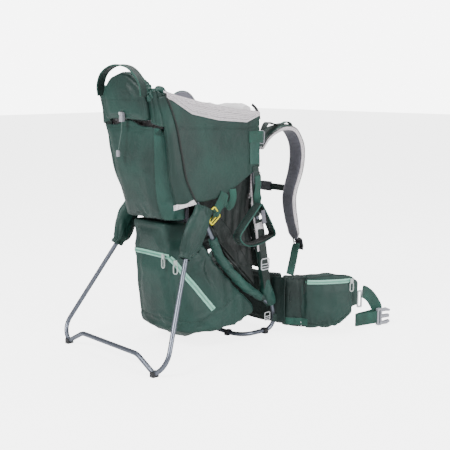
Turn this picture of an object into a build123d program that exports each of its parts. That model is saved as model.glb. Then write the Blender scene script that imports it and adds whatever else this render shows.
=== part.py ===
from build123d import *
import os

# Framed child carrier backpack, as separate pieces. Millimetres.
# X is the wearer's right, Y is the way the wearer faces, Z is up.
# The origin is the middle of the footprint, on the ground.

# ---------------------------------------------------------------- driving sizes
TUBE_D = 12.0          # frame tube, outside
TUBE_WALL = 1.4
TUBE_X = 122.0         # tube centre line, left and right of the middle
GROUND_TUBE_Z = 8.0    # height of a tube's centre line where its clip stands on the ground
FIT = 0.1              # clearance of a clip on its tube, all round

PIVOT = (145.0, -188.0, 352.0)   # kickstand pivot, right side, middle of the eye
PIN_R = 4.0
EYE_BORE_R = 4.06      # running fit on the pin
EYE_R = 11.0
EYE_WIDTH = 12.0

PANEL_IN_X = 129.0     # inner face of a cockpit side panel
PANEL_T = 6.0
WALL_HALF_X = 112.0    # walls between the side tubes

WEB_WIDE = 38.0        # hip belt webbing
WEB_MID = 25.0         # harness webbing
WEB_SLIM = 20.0        # chest strap webbing
WEB_T = 2.4

STRAP_X = 92.0         # middle of a shoulder strap
STRAP_WIDTH = 54.0
STRAP_T = 16.0

FIN_T = 22.0           # hip fin thickness, and the diameter of its rounded root
POCKET_T = 30.0        # bulge of the fin's zipped pocket
FIN_ZIP_Z = 150.0
FIN_HINGE = (144.0, 118.0)
FIN_TIP = (262.0, 285.0)
RING_AXIS = (268.0, 303.0)       # outer bar of the ring at the fin's tip

HEAD_HALF_X = 85.0     # half width of the headrest

COVER_D = 28.0         # fabric roll around a tube
COVER_BORE = TUBE_D + 0.8

os.makedirs("parts", exist_ok=True)


# ---------------------------------------------------------------- helpers
def save(part, name):
    """Label a finished piece and write it to its own file."""
    part.label = name
    export_step(part, f"parts/{name}.step")


def both_sides(points):
    """A right-hand route, continued as its mirror image on the left."""
    return points + [(-x, y, z) for x, y, z in reversed(points)]


def round_bar(points, radii, outside, inside=0.0):
    """A rod or pipe along straight runs joined by arcs."""
    with BuildPart() as bar:
        with BuildLine() as route:
            FilletPolyline(*points, radius=radii)
        with BuildSketch(Plane(origin=route.line @ 0, z_dir=route.line % 0)):
            Circle(outside / 2)
            if inside:
                Circle(inside / 2, mode=Mode.SUBTRACT)
        sweep()
    return bar.part


def side_slab(outline, x_from, x_to):
    """A slab whose (Y, Z) outline is seen from the side."""
    with BuildPart() as slab:
        with BuildSketch(Plane.YZ.offset(x_from)):
            with BuildLine():
                Polyline(*outline, close=True)
            make_face()
        extrude(amount=x_to - x_from)
    return slab.part


def side_band(points, radii, thickness, x_from, x_to):
    """A band of even thickness that follows a (Y, Z) route."""
    with BuildPart() as band:
        with BuildSketch(Plane.YZ.offset(x_from)):
            with BuildLine():
                FilletPolyline(*points, radius=radii)
            trace(line_width=thickness)
        extrude(amount=x_to - x_from)
    return band.part


def plan_band(points, radii, thickness, z_from, z_to):
    """A band that stands on edge and follows an (X, Y) route."""
    with BuildPart() as band:
        with BuildSketch(Plane.XY.offset(z_from)):
            with BuildLine():
                FilletPolyline(*points, radius=radii)
            trace(line_width=thickness)
        extrude(amount=z_to - z_from)
    return band.part


def beside(route, gap):
    """An (X, Y) route moved to its right-hand side, with mitred corners."""
    runs = [(Vector(*b) - Vector(*a)).normalized() for a, b in zip(route, route[1:])]
    sides = [Vector(run.Y, -run.X) for run in runs]
    moved = []
    for index, point in enumerate(route):
        before = sides[max(index - 1, 0)]
        after = sides[min(index, len(sides) - 1)]
        shift = (before + after) * (gap / (1 + before.dot(after)))
        moved.append((point[0] + shift.X, point[1] + shift.Y))
    return moved


def ribbon(start, end, width, across):
    """A straight piece of webbing; across is the direction of its width."""
    run = Vector(*end) - Vector(*start)
    with BuildPart() as piece:
        with BuildSketch(Plane(origin=start, x_dir=across, z_dir=run)):
            Rectangle(width, WEB_T)
        extrude(amount=run.length)
    return piece.part


def ladder_lock(plane, width, height=26.0):
    """A webbing buckle with two slots, flat on its plane."""
    with BuildPart() as lock:
        with BuildSketch(plane):
            RectangleRounded(width + 8, height, 3)
            with Locations((0, 6), (0, -6)):
                Rectangle(width + 1, 5, mode=Mode.SUBTRACT)
        extrude(amount=4)
    return lock.part


def save_pair(right, name):
    """Write one node that holds a right-hand piece and its mirror image."""
    save(Compound(children=[right, mirror(right, about=Plane.YZ)]), name)


def save_each(right, name):
    """Write a right-hand piece and its mirror image as two nodes."""
    save(right, f"{name}_r")
    save(mirror(right, about=Plane.YZ), f"{name}_l")


# ---------------------------------------------------------------- frame tubes
back_route = both_sides([
    (TUBE_X - 2, 82, 95),
    (TUBE_X, 46, 210),
    (TUBE_X, 16, 380),
    (TUBE_X, 8, 480),
    (TUBE_X, 5, 608),
])
back_radii = [200, 300, 300, 45]
back_frame_tube = round_bar(back_route, back_radii + back_radii[::-1], TUBE_D, TUBE_D - 2 * TUBE_WALL)
save(back_frame_tube, "back_frame_tube")

bow_route = both_sides([
    (TUBE_X - 2, 82, 95),
    (TUBE_X - 3.5, 109.2, GROUND_TUBE_Z),
    (TUBE_X - 14, -22, GROUND_TUBE_Z),
])
bow_radii = [32, 45]
front_foot_bow = round_bar(bow_route, bow_radii + bow_radii[::-1], TUBE_D, TUBE_D - 2 * TUBE_WALL)
save(front_foot_bow, "front_foot_bow")

side_route = [
    (TUBE_X, 68, 90),
    (TUBE_X, -29, 157),
    (TUBE_X, -103, 231),
    (TUBE_X, -173, 356),
    (TUBE_X, -228, 466),
    (TUBE_X, -256, 588),
    (TUBE_X, -298, 672),
]
side_radii = [200, 180, 200, 200, 150, 48]
rear_frame_tube = round_bar(
    both_sides(side_route), side_radii + side_radii[::-1], TUBE_D, TUBE_D - 2 * TUBE_WALL
)
save(rear_frame_tube, "rear_frame_tube")

# Clips that the front bow stands on, each bored for the tube.
bow_bore = round_bar(bow_route, bow_radii + bow_radii[::-1], TUBE_D + 2 * FIT)
with BuildPart() as bow_clips:
    with Locations((TUBE_X - 6.8, 64, 7), (-TUBE_X + 6.8, 64, 7)):
        Box(19, 15, 14)
    with Locations((56, -22, 7), (-56, -22, 7)):
        Box(15, 19, 14)
    fillet(bow_clips.edges().filter_by(Axis.Z), 3)
    add(bow_bore, mode=Mode.SUBTRACT)
save(bow_clips.part, "bow_clips")

# ---------------------------------------------------------------- kickstand
stand_route = both_sides([
    PIVOT,
    (137, -238, 287),
    (222, -377, 37),
    (186, -388, 5.8),
    (118, -388, 42),
])
stand_radii = [60, 48, 14, 47]
stand_radii += stand_radii[::-1]
with BuildPart() as kickstand_tube:
    add(round_bar(stand_route, stand_radii, TUBE_D))
    for side in (1, -1):
        with BuildSketch(Plane.YZ.offset(side * PIVOT[0])):
            with Locations(PIVOT[1:]):
                Circle(EYE_R)
        extrude(amount=EYE_WIDTH / 2, both=True)
        with BuildSketch(Plane.YZ.offset(side * PIVOT[0])):
            with Locations(PIVOT[1:]):
                Circle(EYE_BORE_R)
        extrude(amount=EYE_WIDTH, both=True, mode=Mode.SUBTRACT)
save(kickstand_tube.part, "kickstand_tube")

stand_bore = round_bar(stand_route, stand_radii, TUBE_D + 2 * FIT)
with BuildPart() as kickstand_foot_clips:
    with Locations((184, -387.5, 6.5), (-184, -387.5, 6.5)):
        Box(16, 19, 13)
    fillet(kickstand_foot_clips.edges().filter_by(Axis.Z), 3)
    add(stand_bore, mode=Mode.SUBTRACT)
save(kickstand_foot_clips.part, "kickstand_foot_clips")

# Plate on the side tube with the pivot boss and the stop for the open kickstand.
plate_out_x = 134.3
boss_out_x = PIVOT[0] - EYE_WIDTH / 2 - 1.0
stop_yz = (-211.5, 339.5)
side_bore = round_bar(side_route, side_radii[:-1], TUBE_D + 2 * FIT)
with BuildPart() as bracket:
    with BuildSketch(Plane.YZ.offset(128.3)):
        with Locations(PIVOT[1:]):
            Circle(13)
        with Locations((-176, 360)):
            Circle(12)
        with Locations(stop_yz):
            Circle(7)
        make_hull()
    extrude(amount=plate_out_x - 128.3)
    with BuildSketch(Plane.YZ.offset(plate_out_x)):
        with Locations(PIVOT[1:]):
            Circle(7.5)
    extrude(amount=boss_out_x - plate_out_x)
    with BuildSketch(Plane.YZ.offset(plate_out_x)):
        with Locations(stop_yz):
            Circle(4)
    extrude(amount=14)
    with Locations((121.2, -176, 360)):
        Box(15, 24, 24)
    add(side_bore, mode=Mode.SUBTRACT)
    with BuildSketch(Plane.YZ.offset(100)):
        with Locations(PIVOT[1:]):
            Circle(PIN_R + 0.02)
    extrude(amount=60, mode=Mode.SUBTRACT)
save_pair(bracket.part, "pivot_brackets")

pin_from_x = 128.6
head_from_x = PIVOT[0] + EYE_WIDTH / 2 + 0.4
with BuildPart() as pin:
    with BuildSketch(Plane.YZ.offset(pin_from_x)):
        with Locations(PIVOT[1:]):
            Circle(PIN_R)
    extrude(amount=head_from_x - pin_from_x)
    with BuildSketch(Plane.YZ.offset(head_from_x)):
        with Locations(PIVOT[1:]):
            Circle(7)
    extrude(amount=3)
save_pair(pin.part, "pivot_pins")

# Gathered fabric sleeves over the top of each leg.
sleeve = round_bar([(140.1, -218.6, 312.2), (137, -238, 287), (143.8, -249.1, 267)], [60], 26, COVER_BORE)
save_pair(sleeve, "stand_sleeves")

# Fabric rolls over the diagonal tubes and over the foot of the uprights.
diagonal_cover = round_bar(
    [(TUBE_X, 40, 109.3), (TUBE_X, -29, 157), (TUBE_X, -103, 231), (TUBE_X, -138, 293.5)],
    [200, 180], COVER_D, COVER_BORE)
upright_cover = round_bar(
    [(TUBE_X - 1.1, 66, 146), (TUBE_X, 46, 210), (TUBE_X, 39, 249.7)], [200], COVER_D - 4, COVER_BORE)
covers = [diagonal_cover, upright_cover]
save(Compound(children=covers + [mirror(c, about=Plane.YZ) for c in covers]), "tube_covers")

# ---------------------------------------------------------------- cockpit
side_panel = side_slab(
    [(-303, 668), (-284, 662), (-221, 626), (-130, 609), (-31, 600), (17, 617), (20, 476), (-19, 455),
     (-85, 421), (-173, 400), (-207, 401), (-239, 464), (-267, 588)],
    PANEL_IN_X, PANEL_IN_X + PANEL_T)
save_each(side_panel, "side_panel")

rear_wall = side_slab(
    [(-213, 400), (-246, 464), (-272, 588), (-297, 636), (-289, 636), (-264, 588), (-238, 464), (-205, 400)],
    -WALL_HALF_X, WALL_HALF_X)
save(rear_wall, "rear_wall")

front_wall = side_slab(
    [(-5, 562), (-3, 480), (5, 385), (13, 385), (5, 480), (3, 562)], -WALL_HALF_X, WALL_HALF_X)
save(front_wall, "front_wall")

# Bulging pocket on the rear wall: height, half width at the back, Y of the back, Y of the front.
pocket_levels = [
    (352, 73, -268, -214),
    (400, 72, -283, -216),
    (464, 80, -296, -249),
    (588, 99, -312, -275),
    (598, 100, -313, -281),
]
with BuildPart() as rear_pocket:
    for z, half, y_back, y_front in pocket_levels:
        with BuildSketch(Plane.XY.offset(z)):
            with BuildLine():
                Polyline((-half, y_back), (half, y_back), (WALL_HALF_X, y_front),
                         (-WALL_HALF_X, y_front), close=True)
            make_face()
    loft(ruled=True)
save(rear_pocket.part, "rear_pocket")

# Arched headrest: its back leans out towards the top.
head_tilt = 8.2
head_back = Plane(origin=(0, -321.5, 600), x_dir=(1, 0, 0), z_dir=(0, -1, 0)).rotated((head_tilt, 0, 0))
with BuildPart() as headrest_pad:
    with BuildSketch(head_back):
        with BuildLine():
            Polyline((-HEAD_HALF_X, 66), (-HEAD_HALF_X, 5), (HEAD_HALF_X, 5), (HEAD_HALF_X, 66))
            ThreePointArc((HEAD_HALF_X, 66), (0, 119), (-HEAD_HALF_X, 66))
        make_face()
    extrude(amount=-26)
    fillet(headrest_pad.edges().filter_by(GeomType.CIRCLE), 5)
save(headrest_pad.part, "headrest_pad")

chin_pad = side_slab(
    [(-32, 596), (-3, 594), (-3, 616), (8, 617), (10, 634), (-6, 642), (-24, 636)], -116, 116)
save(chin_pad, "chin_pad")

# ---------------------------------------------------------------- grab handle
handle_x = HEAD_HALF_X + 4
with BuildPart() as grab_handle:
    with BuildSketch(Plane.XZ.offset(318)):
        with BuildLine():
            FilletPolyline((-handle_x, 664), (4 - handle_x, 712), (-12, 740), (56, 722), (handle_x, 664),
                           radius=[28, 50, 34])
        trace(line_width=3)
    extrude(amount=24)
save(grab_handle.part, "grab_handle")

# ---------------------------------------------------------------- seat inside the cockpit
with BuildPart() as seat_pad:
    with Locations((0, -98, 273)):
        Box(180, 136, 22)
    fillet(seat_pad.edges(), 8)
save(seat_pad.part, "seat_pad")

with BuildPart() as seat_back:
    with Locations((0, -186, 405)):
        Box(160, 12, 230)
    fillet(seat_back.edges(), 4)
save(seat_back.part, "seat_back")

with BuildPart() as child_harness:
    with Locations((44, -177, 425), (-44, -177, 425)):
        Box(26, 4, 150)
    with Locations((0, -177, 348)):
        Box(114, 4, 22)
save(child_harness.part, "child_harness")

buckle_face = Plane.XZ.offset(174.6)     # this plane's normal is -Y, so the buckle grows towards +Y
with BuildPart() as child_buckle:
    with BuildSketch(buckle_face):
        with Locations((0, 348)):
            RectangleRounded(40, 44, 8)
    extrude(amount=-11)
    with BuildSketch(Plane.XZ.offset(163.6)):
        with Locations((0, 352)):
            Circle(9)
    extrude(amount=5, mode=Mode.SUBTRACT)
save(child_buckle.part, "child_buckle")

with BuildPart() as child_buckle_button:
    with BuildSketch(Plane.XZ.offset(162.4)):
        with Locations((0, 352)):
            Circle(8.5)
    extrude(amount=3.2)
save(child_buckle_button.part, "child_buckle_button")

seat_gusset = side_slab(
    [(-147, 366), (-86, 246), (-14, 175), (19, 144), (13, 178), (-18, 238), (-58, 292), (-106, 344)], 104, 116)
save_pair(seat_gusset, "seat_gussets")

# ---------------------------------------------------------------- daypack under the seat
with BuildPart() as daypack:
    with BuildSketch(Plane.XY.offset(40)):
        with BuildLine():
            Polyline((-67, -262), (67, -262), (122, -120), (122, 30), (-122, 30), (-122, -120), close=True)
        make_face()
    extrude(amount=320)
    with BuildSketch(Plane.YZ):
        with BuildLine():
            Polyline((-262, 343), (-190, 343), (-119, 222), (-42, 144), (18, 86), (14, 72), (-20, 60),
                     (-66, 51), (-192, 50), (-224, 58), (-247, 264), close=True)
        make_face()
    extrude(amount=130, both=True, mode=Mode.INTERSECT)
    with Locations((0, -111, 306)):
        Box(194, 182, 100, mode=Mode.SUBTRACT)
save(daypack.part, "daypack")

# Zip: one run across the back, one down each flank.
ZIP_W = 12.0
flank_along = Vector(55, 142, 0).normalized()
flank_out = Vector(142, -55, 0).normalized()
flank_start = Vector(75, -241.5, 0) + flank_out * 1.0
zip_run = 118.0
zip_top = 262.0
zip_bottom = 114.0
with BuildPart() as flank_tape:
    with BuildSketch(Plane(origin=flank_start, x_dir=flank_along, z_dir=flank_out)):
        with BuildLine():
            Polyline((0, zip_top), (zip_run, zip_bottom), (zip_run, zip_bottom - ZIP_W * 1.4),
                     (0, zip_top - ZIP_W * 1.4), close=True)
        make_face()
    extrude(amount=1.6)
with BuildPart() as back_tape:
    with Locations((0, -250.4, 256)):
        Box(140, 1.6, ZIP_W)
save(Compound(children=[back_tape.part, flank_tape.part, mirror(flank_tape.part, about=Plane.YZ)]),
     "main_zip_tape")


def zip_slider(plane):
    """A slider on its tape, with a looped pull hanging below it."""
    with BuildPart() as slider:
        with BuildSketch(plane):
            RectangleRounded(9, 11, 2)
        extrude(amount=4)
        with BuildSketch(plane.offset(1)):
            with Locations((0, -18)):
                RectangleRounded(13, 27, 6)
                RectangleRounded(8, 22, 3.9, mode=Mode.SUBTRACT)
        extrude(amount=2.4)
    return slider.part


back_slider_plane = Plane(origin=(58, -251.6, 257), x_dir=(1, 0, 0), z_dir=(0, -1, 0))
save(zip_slider(back_slider_plane), "main_zip_slider_back")
flank_slider_at = flank_start + flank_along * 10 + flank_out * 2.0 + Vector(0, 0, zip_top - 20)
save(zip_slider(Plane(origin=flank_slider_at, x_dir=flank_along, z_dir=flank_out)), "main_zip_slider_side")

# ---------------------------------------------------------------- pads on the wearer's side
back_pad = side_slab(
    [(13, 560), (15, 480), (23, 380), (56, 214), (66, 184), (84, 184), (76, 214), (41, 380), (33, 480),
     (31, 560)],
    -104, 104)
save(back_pad, "back_pad")

lumbar_pad = plan_band([(-130, 116), (-70, 99), (70, 99), (130, 116)], [80, 80], 14, 22, 168)
save(lumbar_pad, "lumbar_pad")

# ---------------------------------------------------------------- shoulder harness
with BuildPart() as harness_yoke:
    with Locations((0, 40, 505)):
        Box(176, 6, 76)
    fillet(harness_yoke.edges().filter_by(Axis.Y), 14)
save(harness_yoke.part, "harness_yoke")

strap_route = [(54, 520), (95, 556), (178, 568), (220, 490), (178, 368), (214, 248)]
strap_radii = [60, 45, 60, 120]
shoulder_strap = side_band(
    strap_route, strap_radii, STRAP_T, STRAP_X - STRAP_WIDTH / 2, STRAP_X + STRAP_WIDTH / 2)
save_each(shoulder_strap, "shoulder_strap")

lifter = ribbon((STRAP_X, 126, 573), (116, 56, 562), WEB_SLIM, (1, 0, 0))
lower_webbing = ribbon((STRAP_X + 6, 208, 232), (148, 128, 178), WEB_MID, (1, 0.7, 0))
webbings = [lifter, lower_webbing]
save(Compound(children=webbings + [mirror(w, about=Plane.YZ) for w in webbings]), "harness_webbings")

strap_lock = ladder_lock(Plane(origin=(STRAP_X, 224, 236), x_dir=(1, 0, 0), z_dir=(0, 1, 0.3)), WEB_MID)
save_pair(strap_lock, "strap_locks")

lifter_lock = ladder_lock(Plane(origin=(124, 36, 545), x_dir=(1, 0, 0), z_dir=(0, 1, 0)), WEB_SLIM)
side_lock = ladder_lock(Plane(origin=(137.5, 46, 208), x_dir=(0, 1, 0), z_dir=(1, 0, 0)), WEB_SLIM)
locks = [lifter_lock, side_lock]
save(Compound(children=locks + [mirror(k, about=Plane.YZ) for k in locks]), "frame_locks")

# ---------------------------------------------------------------- chest strap
CHEST_Y = 209.0
CHEST_Z = 394.0
CHEST_END_X = 104.0        # the strap halves end on the shoulder straps
socket_from_x = -38.0
socket_to_x = -4.0
plug_from_x = socket_from_x - 22.0
prong_length = 20.0

with BuildPart() as chest_strap_r:
    with Locations(((socket_to_x + 0.3 + CHEST_END_X) / 2, CHEST_Y, CHEST_Z)):
        Box(CHEST_END_X - socket_to_x - 0.3, WEB_T, WEB_SLIM)
save(chest_strap_r.part, "chest_strap_r")

with BuildPart() as chest_buckle_socket:
    with Locations(((socket_from_x + socket_to_x) / 2, CHEST_Y, CHEST_Z)):
        Box(socket_to_x - socket_from_x, 10, 28)
    fillet(chest_buckle_socket.edges().filter_by(Axis.X), 3)
    with Locations((socket_from_x + 11, CHEST_Y, CHEST_Z)):
        Box(22.01, 5.6, 18, mode=Mode.SUBTRACT)
save(chest_buckle_socket.part, "chest_buckle_socket")

with BuildPart() as chest_buckle_plug:
    with Locations(((plug_from_x + socket_from_x - 0.3) / 2, CHEST_Y, CHEST_Z)):
        Box(socket_from_x - 0.3 - plug_from_x, 9, 26)
    fillet(chest_buckle_plug.edges().filter_by(Axis.X), 3)
    prong_x = socket_from_x - 1 + prong_length / 2
    with Locations((prong_x, CHEST_Y, CHEST_Z + 5), (prong_x, CHEST_Y, CHEST_Z - 5)):
        Box(prong_length, 4.2, 5)
save(chest_buckle_plug.part, "chest_buckle_plug")

with BuildPart() as chest_strap_l:
    with Locations(((plug_from_x - 0.3 - CHEST_END_X) / 2, CHEST_Y, CHEST_Z)):
        Box(CHEST_END_X + plug_from_x - 0.3, WEB_T, WEB_SLIM)
save(chest_strap_l.part, "chest_strap_l")

# ---------------------------------------------------------------- hip belt
fin_route = [FIN_HINGE, (178, 142), (215, 182), (245, 232), FIN_TIP]
pocket_route = [(192, 146), (223, 178), (253, 228), (262, 256)]
zip_route = beside(pocket_route, POCKET_T / 2 + 1.2)
with BuildPart() as fin:
    with BuildSketch(Plane.XY.offset(10)):
        with BuildLine():
            FilletPolyline(*fin_route, radius=[60, 80, 80])
        trace(line_width=FIN_T)
        with Locations(FIN_HINGE):
            Circle(FIN_T / 2)
    extrude(amount=170)
    with BuildSketch(Plane.XY.offset(10)):
        with BuildLine():
            FilletPolyline(*pocket_route, radius=[60, 60])
        trace(line_width=POCKET_T)
    extrude(amount=170)
    with BuildSketch(Plane.YZ.offset(100)):
        with BuildLine():
            Polyline((90, 24), (140, 17), (210, 20), (244, 46), (268, 70), (300, 76), (300, 122),
                     (262, 158), (200, 171), (140, 165), (90, 156), close=True)
        make_face()
    extrude(amount=200, mode=Mode.INTERSECT)
save_each(fin.part, "hip_fin")

fin_zip = plan_band(zip_route, [76, 76], 1.6, FIN_ZIP_Z - 6, FIN_ZIP_Z + 6)
save_each(fin_zip, "fin_zip_tape")

# The slider runs along the last straight of the tape.
zip_end = Vector(*zip_route[-1], FIN_ZIP_Z)
zip_along = (Vector(*zip_route[-1]) - Vector(*zip_route[-2])).normalized()
zip_out = Vector(zip_along.Y, -zip_along.X, 0)
fin_slider = zip_slider(
    Plane(origin=zip_end - zip_along * 6 + zip_out * 1.3, x_dir=zip_along, z_dir=zip_out))
save_each(fin_slider, "fin_zip_slider")

# Rectangular ring at the tip of a fin. Its outer bar is the belt webbing's hinge.
fin_along = (Vector(*RING_AXIS) - Vector(*FIN_TIP)).normalized()
ring_plane = Plane(origin=(RING_AXIS[0], RING_AXIS[1], 86), x_dir=fin_along, z_dir=(fin_along.Y, -fin_along.X, 0))
with BuildPart() as ring:
    with BuildSketch(ring_plane):
        with Locations((-6, 0)):
            RectangleRounded(16, 50, 3)
            RectangleRounded(8, 41, 1.5, mode=Mode.SUBTRACT)
    extrude(amount=2, both=True)
save_each(ring.part, "fin_ring")

# Belt webbing: out from the ring, folded back under itself, then out again to the buckle.
fold_out = Vector(279, 364, 0)
fold_back = [(262, 284), (270, 279)]
buckle_root = (288, 352)
web_top_z = 78.0       # lower edge of the webbing where it leaves the ring
web_far_z = 30.0       # lower edge where it folds back
web_low_z = 7.0        # lower edge of the two lower runs
web_start = Vector(RING_AXIS[0], RING_AXIS[1], 0) + (fold_out - Vector(*RING_AXIS)).normalized() * 4.2
first_run = fold_out - web_start
with BuildPart() as hip_webbing:
    with BuildSketch(Plane(origin=web_start, x_dir=first_run, z_dir=(first_run.Y, -first_run.X, 0))):
        with BuildLine():
            Polyline((0, web_top_z), (first_run.length, web_far_z),
                     (first_run.length, web_far_z + WEB_WIDE), (0, web_top_z + WEB_WIDE), close=True)
        make_face()
    extrude(amount=WEB_T / 2, both=True)
    with BuildSketch(Plane.XY.offset(web_low_z)):
        with BuildLine():
            FilletPolyline((fold_out.X, fold_out.Y), *fold_back, buckle_root, radius=[3.5, 3.5])
        trace(line_width=WEB_T)
    extrude(amount=WEB_WIDE)
save_each(hip_webbing.part, "hip_webbing")

BUCKLE_Z = web_low_z + WEB_WIDE / 2
buckle_along = (Vector(*buckle_root) - Vector(*fold_back[-1])).normalized()
buckle_plane = Plane(
    origin=(buckle_root[0] + buckle_along.X * 0.4, buckle_root[1] + buckle_along.Y * 0.4, BUCKLE_Z),
    x_dir=buckle_along, z_dir=(buckle_along.Y, -buckle_along.X, 0))
with BuildPart() as belt_buckle_plug:
    with BuildSketch(buckle_plane):
        with Locations((8, 0)):
            RectangleRounded(16, 50, 4)
        with Locations((8, 0)):
            Rectangle(5, 39, mode=Mode.SUBTRACT)
        with Locations((29, 0)):
            Rectangle(28, 9)
        with BuildLine():
            Polyline((14, 15), (30, 15), (44, 13), (46, 19), (34, 24), (14, 23), close=True)
        make_face()
        with BuildLine():
            Polyline((14, -15), (30, -15), (44, -13), (46, -19), (34, -24), (14, -23), close=True)
        make_face()
    extrude(amount=4.5, both=True)
save(belt_buckle_plug.part, "belt_buckle_plug")

with BuildPart() as socket:
    with BuildSketch(buckle_plane):
        with Locations((21, 0)):
            RectangleRounded(42, 52, 6)
        with Locations((6, 0)):
            Rectangle(4, 39, mode=Mode.SUBTRACT)
    extrude(amount=7, both=True)
    with BuildSketch(buckle_plane.offset(-3.5)):
        with Locations((28, 0)):
            Rectangle(30, 38)
    extrude(amount=7, mode=Mode.SUBTRACT)
save(mirror(socket.part, about=Plane.YZ), "belt_buckle_socket")

# ---------------------------------------------------------------- straps that hang at the sides
# Foot stirrup: a loop hung on webbing from the front corner of the cockpit.
stirrup_x = 138.0
with BuildPart() as stirrup:
    with BuildSketch(Plane.YZ.offset(stirrup_x)):
        with BuildLine():
            FilletPolyline((-4, 378), (-84, 302), (-40, 267), (58, 286), (1, 378), radius=[14, 36, 8])
        trace(line_width=3)
    extrude(amount=28)
    with BuildSketch(Plane.YZ.offset(stirrup_x)):
        with Locations((10, 414)):
            Rectangle(24, 80)
    extrude(amount=3)
save_each(stirrup.part, "stirrup")

# Entry strap with its square buckle, under the rear corner of the cockpit.
with BuildPart() as entry_strap:
    with BuildSketch(Plane.YZ.offset(138)):
        with BuildLine():
            Polyline((-128, 416), (-100, 416), (-136, 362), (-158, 380), close=True)
        make_face()
    extrude(amount=WEB_T)
    with BuildSketch(Plane(origin=(138, -155, 361), x_dir=(0, 0.8, 0.6), z_dir=(1, 0, 0))):
        RectangleRounded(34, 30, 5)
        Rectangle(22, 18, mode=Mode.SUBTRACT)
    extrude(amount=5)
save_each(entry_strap.part, "entry_strap")

# ---------------------------------------------------------------- drawcord on the rear pocket
CORD_D = 2.5
LOCK_Y = -332.0
LOCK_Z = 613.0
with BuildPart() as cord_lock:
    with Locations((0, LOCK_Y, LOCK_Z)):
        Box(13, 11, 24)
    fillet(cord_lock.edges().filter_by(Axis.Z), 3)
    with Locations((0, LOCK_Y, LOCK_Z)):
        Cylinder(CORD_D / 2 + 0.4, 30, mode=Mode.SUBTRACT)
    with Locations((0, LOCK_Y - 3, LOCK_Z + 9)):
        Box(7.2, 20, 7.2, mode=Mode.SUBTRACT)
    with Locations((0, LOCK_Y + 4.5, LOCK_Z + 9)):
        Box(7.2, 2, 7.2)
save(cord_lock.part, "cord_lock")

# Spring button in the top of the cord lock, pressed towards the pack.
with BuildPart() as cord_lock_button:
    with Locations((0, LOCK_Y - 5.65, LOCK_Z + 9)):
        Box(6.6, 4.5, 6.6)
save(cord_lock_button.part, "cord_lock_button")

cord_route = [(0, LOCK_Y, 624), (0, LOCK_Y, 588), (-5, LOCK_Y - 3, 556), (-16, LOCK_Y - 1, 530)]
for a, b, c in zip(cord_route, cord_route[1:], cord_route[2:]):
    turn = (Vector(*b) - Vector(*a)).get_angle(Vector(*c) - Vector(*b))
    print("cord turn", round(turn, 1))
pocket_cord = round_bar(cord_route, [160, 90], CORD_D)
save(pocket_cord, "pocket_cord")

with BuildPart() as cord_end:
    with Locations((-18.6, LOCK_Y - 0.6, 521)):
        Box(10, 5, 17)
    fillet(cord_end.edges().filter_by(Axis.Y), 4)
save(cord_end.part, "cord_end")
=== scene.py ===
# %% [markdown]
# # A framed child carrier backpack, dressed in Blender
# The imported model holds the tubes, clips and buckles at their real size. This lesson keeps those
# and replaces every plain stand-in for cloth with sewn, padded and woven pieces. Each code cell
# makes one thing. All lengths are metres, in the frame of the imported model.

import math

import bmesh
import bpy
import numpy as np
from mathutils import Matrix, Vector, noise
from mathutils.bvhtree import BVHTree


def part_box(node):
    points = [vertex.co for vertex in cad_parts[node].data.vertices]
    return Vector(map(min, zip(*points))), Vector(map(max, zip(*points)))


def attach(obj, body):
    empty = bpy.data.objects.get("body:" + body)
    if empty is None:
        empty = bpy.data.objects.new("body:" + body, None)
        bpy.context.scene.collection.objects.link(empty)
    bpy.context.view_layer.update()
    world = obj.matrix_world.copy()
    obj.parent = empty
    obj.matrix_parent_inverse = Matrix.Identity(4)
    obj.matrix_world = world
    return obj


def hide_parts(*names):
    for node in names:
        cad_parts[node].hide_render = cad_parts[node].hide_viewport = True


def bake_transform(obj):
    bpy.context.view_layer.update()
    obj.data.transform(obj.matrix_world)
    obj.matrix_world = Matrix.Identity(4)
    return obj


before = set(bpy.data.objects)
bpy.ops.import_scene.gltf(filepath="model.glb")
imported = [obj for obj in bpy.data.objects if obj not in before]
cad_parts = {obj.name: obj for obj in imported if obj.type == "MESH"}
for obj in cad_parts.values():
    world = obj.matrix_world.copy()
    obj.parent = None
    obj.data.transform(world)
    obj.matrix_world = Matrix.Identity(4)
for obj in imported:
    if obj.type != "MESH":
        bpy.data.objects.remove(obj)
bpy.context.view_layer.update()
print("frame loaded with", len(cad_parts), "nodes")

# %% [markdown]
# The helpers below carry the whole script. The carrier is symmetric, so a right-hand piece is
# described once in millimetres and its mirror image is worked out. A smooth line is a Catmull-Rom
# curve, because it passes through the places where the real webbing is sewn down.

# %% Points and lines
MM = 0.001
X_AXIS, Y_AXIS, Z_AXIS = Vector((1, 0, 0)), Vector((0, 1, 0)), Vector((0, 0, 1))


def at(x, y, z):
    """A point given in millimetres."""
    return Vector((x, y, z)) * MM


def mirrored(points):
    return [Vector((-p.x, p.y, p.z)) for p in points]


def resample(line, step):
    """The same line with evenly spaced points, about one step apart."""
    points = np.array([tuple(p) for p in line])
    lengths = np.concatenate([[0.0], np.cumsum(np.linalg.norm(np.diff(points, axis=0), axis=1))])
    count = max(2, int(round(lengths[-1] / step)) + 1)
    wanted = np.linspace(0, lengths[-1], count)
    return [Vector(row) for row in np.stack([np.interp(wanted, lengths, points[:, k]) for k in range(3)], 1)]


def smooth_line(points, step=0.004):
    """A smooth line through the points."""
    pts = [2 * points[0] - points[1]] + list(points) + [2 * points[-1] - points[-2]]
    dense = []
    for a, b, c, d in zip(pts, pts[1:], pts[2:], pts[3:]):
        for k in range(16):
            t = k / 16
            dense.append(0.5 * (2 * b + (c - a) * t + (2 * a - 5 * b + 4 * c - d) * t ** 2
                                + (3 * b - a - 3 * c + d) * t ** 3))
    dense.append(pts[-2])
    return resample(dense, step)


def smoothstep(low, high, value):
    t = max(0.0, min(1.0, (value - low) / (high - low)))
    return t * t * (3 - 2 * t)


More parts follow.
